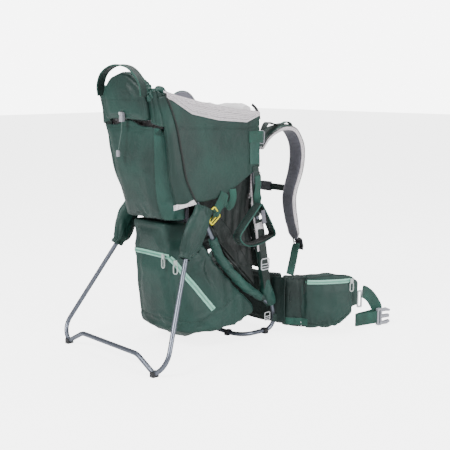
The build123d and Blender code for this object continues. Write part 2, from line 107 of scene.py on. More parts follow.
def directions(path):
    """The direction of travel at each point of a path."""
    last = len(path) - 1
    return [(path[min(k + 1, last)] - path[max(k - 1, 0)]).normalized() for k in range(last + 1)]


# %% Meshes
def piece_from(name, verts, faces, finish, uvs=None, crisp=50):
    """A mesh object with outward faces, smooth shading and one finish."""
    mesh = bpy.data.meshes.new(name)
    mesh.from_pydata([tuple(v) for v in verts], [], faces)
    if uvs is not None:
        layer = mesh.uv_layers.new(name="UVMap")
        layer.data.foreach_set("uv", np.array(uvs, np.float32).ravel())
    piece = bpy.data.objects.new(name, mesh)
    bpy.context.scene.collection.objects.link(piece)
    tidy_normals(mesh)
    mesh.materials.append(finish)
    mesh.shade_smooth()
    mesh.set_sharp_from_angle(angle=math.radians(crisp))
    return piece


def tidy_normals(mesh):
    bm = bmesh.new()
    bm.from_mesh(mesh)
    bmesh.ops.recalc_face_normals(bm, faces=bm.faces)
    bm.to_mesh(mesh)
    bm.free()


def settle(piece):
    """Turns a piece's modifiers into plain mesh."""
    graph = bpy.context.evaluated_depsgraph_get()
    mesh = bpy.data.meshes.new_from_object(piece.evaluated_get(graph))
    piece.modifiers.clear()
    piece.data = mesh
    return piece


def lengths_along(points, closed=False):
    line = list(points) + ([points[0]] if closed else [])
    total = [0.0]
    for a, b in zip(line, line[1:]):
        total.append(total[-1] + (b - a).length)
    return total


def surface(name, rows, finish, ring=False, caps=False, crisp=50):
    """A mesh through rows of points. Its UV map is in metres: across a row, and along the rows."""
    count = len(rows[0])
    middle = len(rows) // 2
    across = lengths_along(rows[middle], ring)
    along = lengths_along([row[0] for row in rows])
    faces = []
    uvs = []
    for i in range(len(rows) - 1):
        for j in range(count if ring else count - 1):
            k = (j + 1) % count
            faces.append((i * count + j, i * count + k, (i + 1) * count + k, (i + 1) * count + j))
            uvs += [(across[j], along[i]), (across[j + 1], along[i]),
                    (across[j + 1], along[i + 1]), (across[j], along[i + 1])]
    if caps:
        for i in (0, len(rows) - 1):
            faces.append(tuple(i * count + j for j in range(count)))
            uvs += [(across[j], along[i]) for j in range(count)]
    return piece_from(name, [p for row in rows for p in row], faces, finish, uvs, crisp)


def cloth_panel(name, rows, finish, thickness=0.0016):
    """A sheet through rows of points, given a real thickness."""
    piece = surface(name, rows, finish)
    solid = piece.modifiers.new("thickness", "SOLIDIFY")
    solid.thickness = thickness
    solid.offset = 0
    return settle(piece)


def patch(top, bottom, start, end, across=40, down=24):
    """Rows of points that fill the space between four edges (a Coons patch)."""
    def spread(line, count):
        smooth = smooth_line(line, 0.003)
        return resample(smooth, lengths_along(smooth)[-1] / (count - 1))[:count]
    t, b = spread(top, across), spread(bottom, across)
    s, e = spread(start, down), spread(end, down)
    across, down = min(len(t), len(b)), min(len(s), len(e))
    rows = []
    for i in range(down):
        v = i / (down - 1)
        row = []
        for j in range(across):
            u = j / (across - 1)
            edges = t[j] * (1 - v) + b[j] * v + s[i] * (1 - u) + e[i] * u
            corners = (t[0] * (1 - u) * (1 - v) + t[across - 1] * u * (1 - v)
                       + b[0] * (1 - u) * v + b[across - 1] * u * v)
            row.append(edges - corners)
        rows.append(row)
    return rows


FLAT_SECTION = [(0.5, -0.2), (0.5, 0.2), (0.47, 0.5), (0.24, 0.5), (0, 0.5), (-0.24, 0.5), (-0.47, 0.5),
                (-0.5, 0.2), (-0.5, -0.2), (-0.47, -0.5), (-0.24, -0.5), (0, -0.5), (0.24, -0.5),
                (0.47, -0.5)]


def webbing(name, path, across, width, finish, thickness=0.0018, section=FLAT_SECTION):
    """Flat webbing along a path. across is the direction of its width, one for all or one a point."""
    wide = across if isinstance(across, list) else [across] * len(path)
    rows = []
    for point, ahead, side in zip(path, directions(path), wide):
        side = (side - ahead * side.dot(ahead)).normalized()
        out = ahead.cross(side)
        rows.append([point + side * (u * width) + out * (v * thickness) for u, v in section])
    return surface(name, rows, finish, ring=True, caps=True)


def roll(name, path, radius, finish, sides=24, reference=Vector((1, 0, 0)), caps=True):
    """A round or gathered tube. radius is a function of (share of the length, angle)."""
    rows = []
    for k, (point, ahead) in enumerate(zip(path, directions(path))):
        side = (reference - ahead * reference.dot(ahead)).normalized()
        out = ahead.cross(side)
        share = k / (len(path) - 1)
        row = []
        for j in range(sides):
            angle = 2 * math.pi * j / sides
            row.append(point + (side * math.cos(angle) + out * math.sin(angle)) * radius(share, angle))
        rows.append(row)
    return surface(name, rows, finish, ring=True, caps=caps)


def joined(name, pieces):
    """Several pieces as one object."""
    bpy.ops.object.select_all(action="DESELECT")
    for piece in pieces:
        piece.select_set(True)
    bpy.context.view_layer.objects.active = pieces[0]
    bpy.ops.object.join()
    pieces[0].name = name
    return pieces[0]


def reflect(piece, name):
    """A mirror image of a piece, with its faces turned outwards again."""
    mesh = piece.data.copy()
    mesh.transform(Matrix.Scale(-1, 4, (1, 0, 0)))
    mesh.flip_normals()
    twin = bpy.data.objects.new(name, mesh)
    bpy.context.scene.collection.objects.link(twin)
    return twin


def place(piece, body, nodes=()):
    """Attaches a finished piece to the body it rides on and hides the CAD nodes it stands for."""
    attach(piece, body)
    if nodes:
        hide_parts(*nodes)
    return piece


def stretched_sheet(piece, rows):
    """Prints the size and area a sewn-in panel is cut to, worked out from its rows."""
    spots = np.array([[tuple(p) for p in row] for row in rows])
    across = np.linalg.norm(np.diff(spots, axis=1), axis=2).sum(axis=1).max()
    down = np.linalg.norm(np.diff(spots, axis=0), axis=2).sum(axis=0).max()
    sides = spots[:-1, 1:] - spots[:-1, :-1], spots[1:, :-1] - spots[:-1, :-1]
    ends = spots[1:, :-1] - spots[1:, 1:], spots[:-1, 1:] - spots[1:, 1:]
    area = sum(np.linalg.norm(np.cross(a, b), axis=2).sum() / 2 for a, b in (sides, ends))
    across, down, area = float(across), float(down), float(area)
    print(piece.name, "is cut to", round(across, 3), "by", round(down, 3), "area", round(area, 4))
    return piece


# %% [markdown]
# The camera stands behind the pack, to its right, and a little above it. The studio has a pale
# floor, a broad soft key light high on the left, and a weaker fill on the right, so the green cloth
# keeps gentle gradients and the tubes get long highlights.

# %% Camera, floor and lights
camera_azimuth = math.radians(46.7)
camera_elevation = math.radians(9.68)
towards_camera = Vector((math.sin(camera_azimuth) * math.cos(camera_elevation),
                         -math.cos(camera_azimuth) * math.cos(camera_elevation),
                         math.sin(camera_elevation)))
camera_data = bpy.data.cameras.new("camera")
camera_data.lens = 68
camera_data.sensor_width = 36
camera = bpy.data.objects.new("camera", camera_data)
camera.location = (1.7219, -1.6031, 0.7032)
camera.rotation_mode = "QUATERNION"
camera.rotation_quaternion = (-towards_camera).to_track_quat("-Z", "Y")
bpy.context.scene.collection.objects.link(camera)
bpy.context.scene.camera = camera


FLOOR_GLOW = 4.0
WORLD_LIGHT = 0.42
WORLD_SEEN = 7.0


def studio_floor():
    mesh = bpy.data.meshes.new("floor")
    reach = 14
    mesh.from_pydata([(-reach, -reach, 0), (reach, -reach, 0), (reach, reach, 0), (-reach, reach, 0)], [],
                     [(0, 1, 2, 3)])
    floor = bpy.data.objects.new("floor", mesh)
    bpy.context.scene.collection.objects.link(floor)
    finish = bpy.data.materials.new("pale_floor")
    finish.use_nodes = True
    shader = finish.node_tree.nodes["Principled BSDF"]
    shader.inputs["Base Color"].default_value = (0.93, 0.93, 0.93, 1)
    shader.inputs["Roughness"].default_value = 0.85
    shader.inputs["Emission Color"].default_value = (1, 1, 1, 1)
    seen = finish.node_tree.nodes.new("ShaderNodeLightPath")
    glow = finish.node_tree.nodes.new("ShaderNodeMath")
    glow.operation = "MULTIPLY"
    glow.inputs[1].default_value = FLOOR_GLOW
    finish.node_tree.links.new(seen.outputs["Is Camera Ray"], glow.inputs[0])
    finish.node_tree.links.new(glow.outputs[0], shader.inputs["Emission Strength"])
    mesh.materials.append(finish)


def soft_light(name, place_at, aim, size, power):
    data = bpy.data.lights.new(name, "AREA")
    data.shape = "DISK"
    data.size = size
    data.energy = power
    lamp = bpy.data.objects.new(name, data)
    lamp.location = place_at
    lamp.rotation_euler = (Vector(aim) - Vector(place_at)).to_track_quat("-Z", "Y").to_euler()
    bpy.context.scene.collection.objects.link(lamp)


studio_floor()
pack_middle = (0, -0.05, 0.35)
soft_light("key", (0.2, -2.6, 2.2), pack_middle, 1.1, 92)
soft_light("fill", (2.6, 0.4, 1.2), pack_middle, 1.2, 52)
soft_light("top", (-0.2, 0.3, 2.8), pack_middle, 1.4, 46)
world = bpy.data.worlds.new("studio")
bpy.context.scene.world = world
world.use_nodes = True
world.node_tree.nodes["Background"].inputs["Color"].default_value = (1, 1, 1, 1)
backdrop = world.node_tree.nodes["Background"]
world_ray = world.node_tree.nodes.new("ShaderNodeLightPath")
world_level = world.node_tree.nodes.new("ShaderNodeMapRange")
world_level.inputs["To Min"].default_value = WORLD_LIGHT
world_level.inputs["To Max"].default_value = WORLD_SEEN
world.node_tree.links.new(world_ray.outputs["Is Camera Ray"], world_level.inputs["Value"])
world.node_tree.links.new(world_level.outputs[0], backdrop.inputs["Strength"])

# %% [markdown]
# Every finish is built from nodes. The pack cloth is a coated plain weave: three crossed wave
# textures in object space make its threads whichever way a panel faces, and two scales of noise
# give it the broad tonal drift and the small creases of used nylon. Sheen stays a plain number on
# the shader, because an exported model drops a linked one.

# %% Node helpers
def linear(red, green, blue):
    """An 8-bit colour as Blender's linear values."""
    out = []
    for value in (red, green, blue):
        share = value / 255
        out.append(share / 12.92 if share < 0.04045 else ((share + 0.055) / 1.055) ** 2.4)
    return (*out, 1.0)


class Finish:
    """A material whose nodes are added one at a time."""

    def __init__(self, name, roughness=0.7, metallic=0.0, sheen=0.0):
        self.material = bpy.data.materials.new(name)
        self.material.use_nodes = True
        self.tree = self.material.node_tree
        self.shader = self.tree.nodes["Principled BSDF"]
        self.shader.inputs["Roughness"].default_value = roughness
        self.shader.inputs["Metallic"].default_value = metallic
        self.shader.inputs["Sheen Weight"].default_value = sheen
        self.shader.inputs["Sheen Roughness"].default_value = 0.45
        self.where = self.tree.nodes.new("ShaderNodeTexCoord")

    def node(self, kind, settings=None, **inputs):
        made = self.tree.nodes.new(kind)
        for key, value in (settings or {}).items():
            setattr(made, key, value)
        for key, value in inputs.items():
            socket = made.inputs[int(key[1:])] if key[0] == "i" and key[1:].isdigit() else made.inputs[key]
            if isinstance(value, bpy.types.NodeSocket):
                self.tree.links.new(value, socket)
            else:
                socket.default_value = value
        return made

    def math(self, operation, a, b=0.0):
        return self.node("ShaderNodeMath", {"operation": operation}, i0=a, i1=b).outputs[0]

    def noise(self, scale, detail=3.0, distortion=0.0, vector=None):
        return self.node("ShaderNodeTexNoise", Vector=vector or self.where.outputs["Object"], Scale=scale,
                         Detail=detail, Distortion=distortion).outputs[0]

    def wave(self, direction, wavelength, vector=None):
        return self.node("ShaderNodeTexWave", {"bands_direction": direction},
                         Vector=vector or self.where.outputs["Object"],
                         Scale=math.pi / (10 * wavelength)).outputs["Fac"]

    def blend(self, share, colour_a, colour_b):
        mix = self.node("ShaderNodeMix", {"data_type": "RGBA"}, i0=share, i6=colour_a, i7=colour_b)
        return mix.outputs[2]

    def ramp(self, value, stops):
        made = self.node("ShaderNodeValToRGB", Fac=value)
        made.color_ramp.elements[0].position = stops[0]
        made.color_ramp.elements[1].position = stops[1]
        return made.outputs[0]

    def colour(self, value):
        self.tree.links.new(value, self.shader.inputs["Base Color"])

    def rough(self, value):
        self.tree.links.new(value, self.shader.inputs["Roughness"])

    def bump(self, *layers):
        """layers are (height, strength, distance), from the largest to the smallest."""
        normal = None
        for height, strength, distance in layers:
            made = self.node("ShaderNodeBump", Height=height, Strength=strength, Distance=distance)
            if normal is not None:
                self.tree.links.new(normal, made.inputs["Normal"])
            normal = made.outputs[0]
        self.tree.links.new(normal, self.shader.inputs["Normal"])


# %% Cloth, webbing and mesh finishes
def pack_cloth(name, dark, light, thread=0.0011, roughness=0.5, sheen=0.06, crease=0.5):
    """Coated woven nylon with tonal drift, small creases and visible threads."""
    f = Finish(name, roughness, sheen=sheen)
    drift = f.noise(7.0, 3.0, 0.4)
    tone = f.blend(f.ramp(drift, (0.36, 0.66)), dark, light)
    weave = f.math("ADD", f.wave("X", thread), f.math("ADD", f.wave("Y", thread), f.wave("Z", thread)))
    shade = f.math("MULTIPLY", weave, 0.09)
    f.colour(f.blend(shade, tone, light))
    f.rough(f.math("ADD", f.math("MULTIPLY", drift, 0.16), roughness - 0.08))
    f.bump((f.noise(26.0, 4.0, 0.8), crease, 0.0035), (weave, 0.3, 0.0003))
    return f.material


def woven_strap(name, dark, light, pitch=0.0016):
    """Webbing: a herringbone of thick yarns that follows the strap, between two selvedges."""
    f = Finish(name, 0.58, sheen=0.12)
    uv = f.where.outputs["UV"]
    split = f.node("ShaderNodeSeparateXYZ", Vector=uv)
    zig = f.math("PINGPONG", split.outputs[0], 0.0022)
    slant = f.math("ADD", split.outputs[1], zig)
    yarn = f.math("SINE", f.math("MULTIPLY", slant, 2 * math.pi / pitch))
    ribs = f.math("SINE", f.math("MULTIPLY", split.outputs[0], 2 * math.pi / 0.0022))
    height = f.math("ADD", f.math("MULTIPLY", yarn, 0.5), f.math("MULTIPLY", ribs, 0.25))
    share = f.math("ADD", f.math("MULTIPLY", height, 0.35), f.math("MULTIPLY", f.noise(30.0), 0.9))
    f.colour(f.blend(f.ramp(share, (0.2, 0.9)), dark, light))
    f.bump((height, 0.5, 0.0005))
    return f.material


def air_mesh(name, base, hole, pitch=0.0042, hole_size=0.3, roughness=0.85):
    """Spacer mesh: soft knit with rows of small holes through its face; their dark fill is painted shade."""
    f = Finish(name, roughness, sheen=0.35)
    cells = f.node("ShaderNodeTexVoronoi", Vector=f.where.outputs["Object"], Scale=1 / pitch,
                   Randomness=0.28)
    inside = f.ramp(cells.outputs["Distance"], (hole_size - 0.09, hole_size + 0.05))
    drift = f.noise(14.0, 2.0)
    lit = f.blend(drift, base, tuple(min(1.0, c * 1.18) for c in base[:3]) + (1.0,))
    # The holes are real; their darker colour is painted shade inside them.
    f.colour(f.blend(inside, hole, lit))
    knit = f.math("ADD", f.wave("Z", 0.0013), f.wave("Y", 0.0013))
    f.bump((f.noise(20.0, 3.0, 0.5), 0.35, 0.003), (inside, 0.7, 0.0008), (knit, 0.2, 0.0003))
    return f.material


green_cloth = pack_cloth("green_cloth", linear(5, 38, 33), linear(14, 60, 52))
green_cloth_light = pack_cloth("green_cloth_light", linear(12, 56, 49), linear(26, 80, 70), crease=0.4)
green_cloth_dark = pack_cloth("green_cloth_dark", linear(4, 26, 23), linear(9, 42, 37), crease=0.7)
inner_cloth = pack_cloth("inner_cloth", linear(7, 15, 14), linear(13, 27, 24), crease=0.7)
green_strap = woven_strap("green_strap", linear(6, 52, 43), linear(22, 90, 76))
dark_strap = woven_strap("dark_strap", linear(3, 28, 24), linear(11, 52, 45))
# The second colour of each mesh is painted shade inside its holes.
pale_mesh = air_mesh("pale_mesh", linear(222, 216, 220), linear(120, 108, 116))
grey_mesh = air_mesh("grey_mesh", linear(104, 104, 114), linear(56, 54, 66), pitch=0.0036)
dark_mesh = air_mesh("dark_mesh", linear(30, 46, 42), linear(10, 20, 18), pitch=0.0038)
print("cloth finishes made")


# %% [markdown]
# The hard parts keep their CAD shape. Anodised tube shows fine scratches along its length, moulded
# plastic has a slight grain, and the little metal loops are brighter and smoother.

# %% Metal and plastic finishes
def anodised(name, base, roughness=0.34):
    f = Finish(name, roughness, metallic=0.85)
    stretched = f.node("ShaderNodeMapping", Vector=f.where.outputs["Object"], Scale=(260, 260, 18))
    scratch = f.noise(1.0, 4.0, 0.2, stretched.outputs[0])
    f.colour(f.blend(f.ramp(scratch, (0.35, 0.75)), base, tuple(min(1, c * 1.3) for c in base[:3]) + (1,)))
    f.rough(f.math("ADD", f.math("MULTIPLY", scratch, 0.18), roughness - 0.08))
    f.bump((scratch, 0.12, 0.0002))
    return f.material


def moulded(name, base, roughness=0.45, grain=0.2):
    f = Finish(name, roughness)
    specks = f.noise(1400.0, 2.0)
    drift = f.noise(40.0, 2.0)
    worn = tuple(min(1, c * 1.25 + 0.01) for c in base[:3]) + (1,)
    f.colour(f.blend(f.math("MULTIPLY", drift, 0.5), base, worn))
    f.rough(f.math("ADD", f.math("MULTIPLY", specks, 0.14), roughness - 0.06))
    f.bump((specks, grain, 0.0002))
    return f.material


tube_metal = anodised("tube_metal", linear(108, 113, 124))
bright_steel = anodised("bright_steel", linear(190, 192, 196), 0.28)
black_plastic = moulded("black_plastic", linear(34, 35, 38))
dark_grey_plastic = moulded("dark_grey_plastic", linear(70, 72, 78))
grey_plastic = moulded("grey_plastic", linear(150, 152, 160))
pale_plastic = moulded("pale_plastic", linear(196, 198, 202), 0.38)
red_plastic = moulded("red_plastic", linear(176, 34, 30), 0.36)
yellow_plastic = moulded("yellow_plastic", linear(238, 222, 40), 0.36)
zip_metal = moulded("zip_metal", linear(176, 184, 182), 0.3, 0.05)

HARD_FINISHES = {
    tube_metal: ["back_frame_tube", "front_foot_bow", "rear_frame_tube", "kickstand_tube"],
    bright_steel: ["pivot_pins", "fin_ring_r", "fin_ring_l"],
    black_plastic: ["bow_clips", "kickstand_foot_clips", "pivot_brackets"],
    dark_grey_plastic: ["chest_buckle_socket", "child_buckle"],
    grey_plastic: ["chest_buckle_plug", "belt_buckle_plug", "belt_buckle_socket", "cord_end", "cord_lock"],
    pale_plastic: ["cord_lock_button"],
    red_plastic: ["child_buckle_button"],
    zip_metal: ["main_zip_slider_back", "main_zip_slider_side", "fin_zip_slider_r", "fin_zip_slider_l"],
}
for finish, names in HARD_FINISHES.items():
    for node_name in names:
        hard_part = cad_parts[node_name]
        hard_part.data.materials.clear()
        hard_part.data.materials.append(finish)
        hard_part.data.polygons.foreach_set("material_index", [0] * len(hard_part.data.polygons))
print("hard parts finished:", sum(len(names) for names in HARD_FINISHES.values()))

# %% [markdown]
# A stuffed piece starts as a copy of its plain CAD solid. It is remeshed into even squares, shrunk a
# little, and blown up by a short cloth simulation with pressure and no gravity, so its corners
# round and its faces crown as real wadding does. A cap keeps every point near the solid that the
# motion tests used. Zips and sewn edges are held, because their tape does not stretch.

# %% Padded pieces by cloth simulation
def nearness(lines, reach):
    """A function that says how near a point is to sewn lines: 1 on a line, 0 beyond reach."""
    from mathutils.kdtree import KDTree
    points = [p for line in lines for p in resample(line, 0.004)]
    tree = KDTree(len(points))
    for index, point in enumerate(points):
        tree.insert(point, index)
    tree.balance()
    return lambda p: 1 - smoothstep(0.0, reach, tree.find(p)[2])


def corners_of(mesh):
    flat = np.zeros(len(mesh.vertices) * 3, np.float32)
    mesh.vertices.foreach_get("co", flat)
    return flat.reshape(-1, 3).astype(float)


def normals_of(mesh):
    flat = np.zeros(len(mesh.vertices) * 3, np.float32)
    mesh.vertices.foreach_get("normal", flat)
    return flat.reshape(-1, 3).astype(float)


def set_corners(mesh, co):
    mesh.vertices.foreach_set("co", co.astype(np.float32).ravel())
    mesh.update()


def cad_copy(name, *nodes):
    """The named CAD solids as one new, merged mesh."""
    bm = bmesh.new()
    for node_name in nodes:
        bm.from_mesh(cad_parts[node_name].data)
    bmesh.ops.remove_doubles(bm, verts=bm.verts, dist=2e-5)
    mesh = bpy.data.meshes.new(name)
    bm.to_mesh(mesh)
    bm.free()
    piece = bpy.data.objects.new(name, mesh)
    bpy.context.scene.collection.objects.link(piece)
    return piece


def inflate(piece, pressure, frames=20):
    """Runs the cloth and returns where its points end up."""
    cloth = piece.modifiers.new("stuffing", "CLOTH")
    cloth.settings.quality = 5
    cloth.settings.mass = 0.3
    cloth.settings.tension_stiffness = 15
    cloth.settings.compression_stiffness = 15
    cloth.settings.bending_stiffness = 0.5
    cloth.settings.use_pressure = True
    cloth.settings.uniform_pressure_force = pressure
    cloth.settings.effector_weights.gravity = 0
    cloth.collision_settings.use_collision = False
    cloth.point_cache.frame_start = 1
    cloth.point_cache.frame_end = frames
    for number in range(1, frames + 1):
        bpy.context.scene.frame_set(number)
        evaluated = piece.evaluated_get(bpy.context.evaluated_depsgraph_get())
        swollen = corners_of(evaluated.data)
    piece.modifiers.clear()
    bpy.context.scene.frame_set(1)
    return swollen


def puffed(name, nodes, finish, voxel=0.005, shrink=0.002, cap=0.007, pressure=4.0, held=(), reach=0.04,
           simulate=True):
    """A stuffed copy of CAD solids, rounded by pressure and held along its sewn lines."""
    piece = cad_copy(name, *nodes)
    even = piece.modifiers.new("even", "REMESH")
    even.mode = "VOXEL"
    even.voxel_size = voxel
    settle(piece)
    soften = piece.modifiers.new("soften", "SMOOTH")
    soften.iterations = 3
    soften.factor = 0.5
    settle(piece)
    solid = corners_of(piece.data)
    set_corners(piece.data, solid - normals_of(piece.data) * shrink)
    start = corners_of(piece.data)
    if simulate:
        moved = inflate(piece, pressure) - start
        size = np.maximum(np.linalg.norm(moved, axis=1, keepdims=True), 1e-9)
        moved *= np.minimum(1.0, (cap + shrink) / size)
        out = normals_of(piece.data)
        lift = (moved * out).sum(axis=1, keepdims=True)
        moved += out * np.maximum(0.0, shrink - lift)
    else:
        moved = normals_of(piece.data) * (shrink + cap * 0.5)
    if held:
        near = nearness(held, reach)
        moved *= 1 - np.array([near(Vector(p)) for p in start])[:, None]
    set_corners(piece.data, start + moved)
    finer = piece.modifiers.new("finer", "SUBSURF")
    finer.levels = 1
    finer.render_levels = 1
    settle(piece)
    piece.data.materials.clear()
    piece.data.materials.append(finish)
    piece.data.shade_smooth()
    print(name, "has", len(piece.data.polygons), "faces")
    return piece


def sculpt(piece, move):
    """Moves every point of a piece by move(point, normal)."""
    mesh = piece.data
    co = corners_of(mesh)
    outs = normals_of(mesh)
    shifted = [p + np.array(move(Vector(p), Vector(n))) for p, n in zip(co, outs)]
    set_corners(mesh, np.array(shifted))
    return piece


def seam_groove(piece, lines, depth=0.002, width=0.004):
    """Sinks narrow channels where panels are sewn together."""
    near = nearness(lines, width * 2)
    return sculpt(piece, lambda p, n: n * (-depth * near(p) ** 1.5))


def creases(piece, depth, size, stretch=(1, 1, 1), seed=0.0, where=None):
    """Soft folds of cloth: smooth noise, longer along some axes, moved along the surface normal."""
    scale = Vector(stretch) / size

    def fold(p, n):
        share = 1.0 if where is None else where(p)
        if share <= 0:
            return Vector((0, 0, 0))
        spot = Vector((p.x * scale.x, p.y * scale.y, p.z * scale.z + seed))
        ridge = 1 - abs(noise.noise(spot)) * 2.6
        return n * (depth * share * (ridge - 0.45))
    return sculpt(piece, fold)


def skin_of(piece):
    mesh = piece.data
    corners = [v.co.copy() for v in mesh.vertices]
    return BVHTree.FromPolygons(corners, [tuple(p.vertices) for p in mesh.polygons])


def laid_on(skin, points, towards, lift=0.0):
    """Where a line lands when it is pushed onto a surface, with the surface's directions there."""
    lands = []
    outs = []
    for point in points:
        way = towards(point) if callable(towards) else towards
        hit = skin.ray_cast(point - way * 0.06, way, 0.15)
        if hit[0] is None:
            hit = skin.find_nearest(point)
        out = hit[1].normalized()
        if out.dot(way) > 0:
            out = -out
        lands.append(hit[0] + out * lift)
        outs.append(out)
    return lands, outs


def finish_faces(piece, finish, chosen):
    """Gives the faces that chosen(centre, normal) picks another finish."""
    piece.data.materials.append(finish)
    index = len(piece.data.materials) - 1
    for face in piece.data.polygons:
        if chosen(face.center, face.normal):
            face.material_index = index
    return piece


# %% [markdown]
# Stitches, zip teeth and the holes of the mesh rim all repeat along lines. One Geometry Nodes tree
# makes them: it resamples a line to the pitch, stands one small unit on each point, and turns it by
# the line's direction and by the surface direction stored on the line. The lines are collected
# while the pieces are made, and the tree runs once for each body and kind at the end.

# %% One tree for everything that repeats along a line
def row_tree():
    tree = bpy.data.node_groups.new("repeat_along_line", "GeometryNodeTree")
    face = tree.interface
    face.new_socket("Line", in_out="INPUT", socket_type="NodeSocketGeometry")
    pitch = face.new_socket("Pitch", in_out="INPUT", socket_type="NodeSocketFloat")
    unit = face.new_socket("Unit", in_out="INPUT", socket_type="NodeSocketObject")
    finish = face.new_socket("Finish", in_out="INPUT", socket_type="NodeSocketMaterial")
    face.new_socket("Row", in_out="OUTPUT", socket_type="NodeSocketGeometry")
    new = tree.nodes.new
    join = tree.links.new
    given = new("NodeGroupInput")
    result = new("NodeGroupOutput")
    curve = new("GeometryNodeMeshToCurve")
    even = new("GeometryNodeResampleCurve")
    even.mode = "LENGTH"
    tangent = new("GeometryNodeInputTangent")
    outward = new("GeometryNodeInputNamedAttribute")
    outward.data_type = "FLOAT_VECTOR"
    outward.inputs["Name"].default_value = "outward"
    along = new("FunctionNodeAlignRotationToVector")
    along.axis = "X"
    upright = new("FunctionNodeAlignRotationToVector")
    upright.axis = "Z"
    upright.pivot_axis = "X"
    info = new("GeometryNodeObjectInfo")
    stand = new("GeometryNodeInstanceOnPoints")
    real = new("GeometryNodeRealizeInstances")
    paint = new("GeometryNodeSetMaterial")
    join(given.outputs["Line"], curve.inputs[0])
    join(curve.outputs[0], even.inputs["Curve"])
    join(given.outputs["Pitch"], even.inputs["Length"])
    join(tangent.outputs[0], along.inputs["Vector"])
    join(along.outputs[0], upright.inputs["Rotation"])
    join(outward.outputs["Attribute"], upright.inputs["Vector"])
    join(given.outputs["Unit"], info.inputs["Object"])
    join(even.outputs[0], stand.inputs["Points"])
    join(info.outputs["Geometry"], stand.inputs["Instance"])
    join(upright.outputs[0], stand.inputs["Rotation"])
    join(stand.outputs[0], real.inputs[0])
    join(real.outputs[0], paint.inputs["Geometry"])
    join(given.outputs["Finish"], paint.inputs["Material"])
    join(paint.outputs[0], result.inputs[0])
    return tree, pitch.identifier, unit.identifier, finish.identifier


ROW_TREE, PITCH_ID, UNIT_ID, FINISH_ID = row_tree()
row_lines = {}


def add_row(body, kind, points, outs):
    """Remembers a line that the tree will cover with stitches, teeth or holes."""
    row_lines.setdefault((body, kind), []).append((list(points), list(outs)))


def sewn(body, skin, points, towards, kind="stitch"):
    """A smooth line through points, pushed onto a surface and remembered as a row."""
    line, outs = laid_on(skin, smooth_line(points, 0.003), towards, 0.0003)
    add_row(body, kind, line, outs)
    return line


# %% [markdown]
# The daypack under the seat is one bag with a zip round it. Its bottom sags between the tubes, its
# upper part is drawn in above the zip, and pull lines run from the lower seam.

# %% Daypack
def back_zip_line():
    return [at(x, -250, 256) for x in (-70, 0, 70)]


FLANK_ZIP = [at(76.5, -241.7, 253.5), at(119.3, -131, 105.5)]
flank_zip_lines = [FLANK_ZIP, mirrored(FLANK_ZIP)]


def shape_daypack(p, n):
    shift = Vector((0, 0, 0))
    above = smoothstep(0.268, 0.30, p.z) * smoothstep(-0.17, -0.20, p.y)
    shift.x -= p.x * 0.07 * above
    shift.y += 0.006 * above
    low = smoothstep(0.13, 0.055, p.z)
    middle = math.exp(-(p.x / 0.10) ** 2) * math.exp(-((p.y + 0.14) / 0.12) ** 2)
    shift.z -= 0.016 * low * middle
    rear_edge = smoothstep(-0.20, -0.25, p.y) * smoothstep(0.16, 0.07, p.z)
    shift.y += 0.008 * rear_edge
    return shift


daypack = puffed("daypack_bag", ["daypack"], green_cloth, voxel=0.006, cap=0.009, pressure=5.0,
                 held=[back_zip_line()] + flank_zip_lines, reach=0.045)
sculpt(daypack, shape_daypack)
creases(daypack, 0.0022, 0.09, (1.0, 1.0, 0.45), 3.1)
creases(daypack, 0.0028, 0.035, (0.6, 0.6, 1.3), 7.7, lambda p: smoothstep(0.12, 0.075, p.z))
creases(daypack, 0.003, 0.05, (0.5, 1.4, 0.6), 1.3, lambda p: smoothstep(-0.13, -0.08, p.y) * 0.8)
daypack_skin = skin_of(daypack)
inwards = lambda p: Vector((-1 if p.x > 0 else 1, 0, 0))
forwards = Vector((0, 1, 0))
lower_seam = [at(96, -236, 84), at(110, -200, 78), at(117, -161, 80), at(121, -126, 97), at(122, -57, 127),
              at(120, -20, 150)]
daypack_seams = [lower_seam, mirrored(lower_seam)]
seam_groove(daypack, [laid_on(daypack_skin, smooth_line(s), inwards)[0] for s in daypack_seams], 0.0018)
daypack_skin = skin_of(daypack)
for line in daypack_seams:
    sewn("frame", daypack_skin, line, inwards)
sewn("frame", daypack_skin, [at(-88, -240, 84), at(0, -246, 80), at(88, -240, 84)], forwards)
place(daypack, "frame", ["daypack"])


# %% [markdown]
# A coil zip is a woven tape with a row of small teeth along its middle. The tape is laid on the
# cloth by casting each point onto it, so it follows every swell of the bag.

# %% Zip tapes
def zip_tape(name, body, skin, points, towards, width, nodes, lift=0.0012):
    """A tape on a surface, with a raised coil cover and a row of teeth along it."""
    line, outs = laid_on(skin, smooth_line(points, 0.004), towards, lift)
    for _ in range(6):
        line = [line[0]] + [(a + b * 2 + c) / 4 for a, b, c in zip(line, line[1:], line[2:])] + [line[-1]]
        evened = [(a + b * 2 + c).normalized() for a, b, c in zip(outs, outs[1:], outs[2:])]
        outs = [outs[0]] + evened + [outs[-1]]
    sides = [ahead.cross(out) for ahead, out in zip(directions(line), outs)]
    tape = webbing(name, line, sides, width, mint_cloth, 0.0014, ZIP_SECTION)
    add_row(body, "tooth", [p + out * 0.0013 for p, out in zip(line, outs)], outs)
    place(tape, body, nodes)
    return tape


ZIP_SECTION = [(0.5, -0.3), (0.5, 0.3), (0.46, 0.5), (0.2, 0.5), (0.14, 1.0), (0, 1.15), (-0.14, 1.0),
               (-0.2, 0.5), (-0.46, 0.5), (-0.5, 0.3), (-0.5, -0.3), (-0.46, -0.5), (0, -0.5), (0.46, -0.5)]
mint_cloth = woven_strap("mint_zip_cloth", linear(128, 196, 174), linear(176, 226, 208), 0.0012)
zip_tape("zip_tape_back", "frame", daypack_skin, back_zip_line(), forwards, 0.013, ["main_zip_tape"])
for side, line in (("r", FLANK_ZIP), ("l", flank_zip_lines[1])):
    middle = (line[0] + line[1]) / 2
    zip_tape("zip_tape_flank_" + side, "frame", daypack_skin, [line[0], middle, line[1]], inwards, 0.014, [])
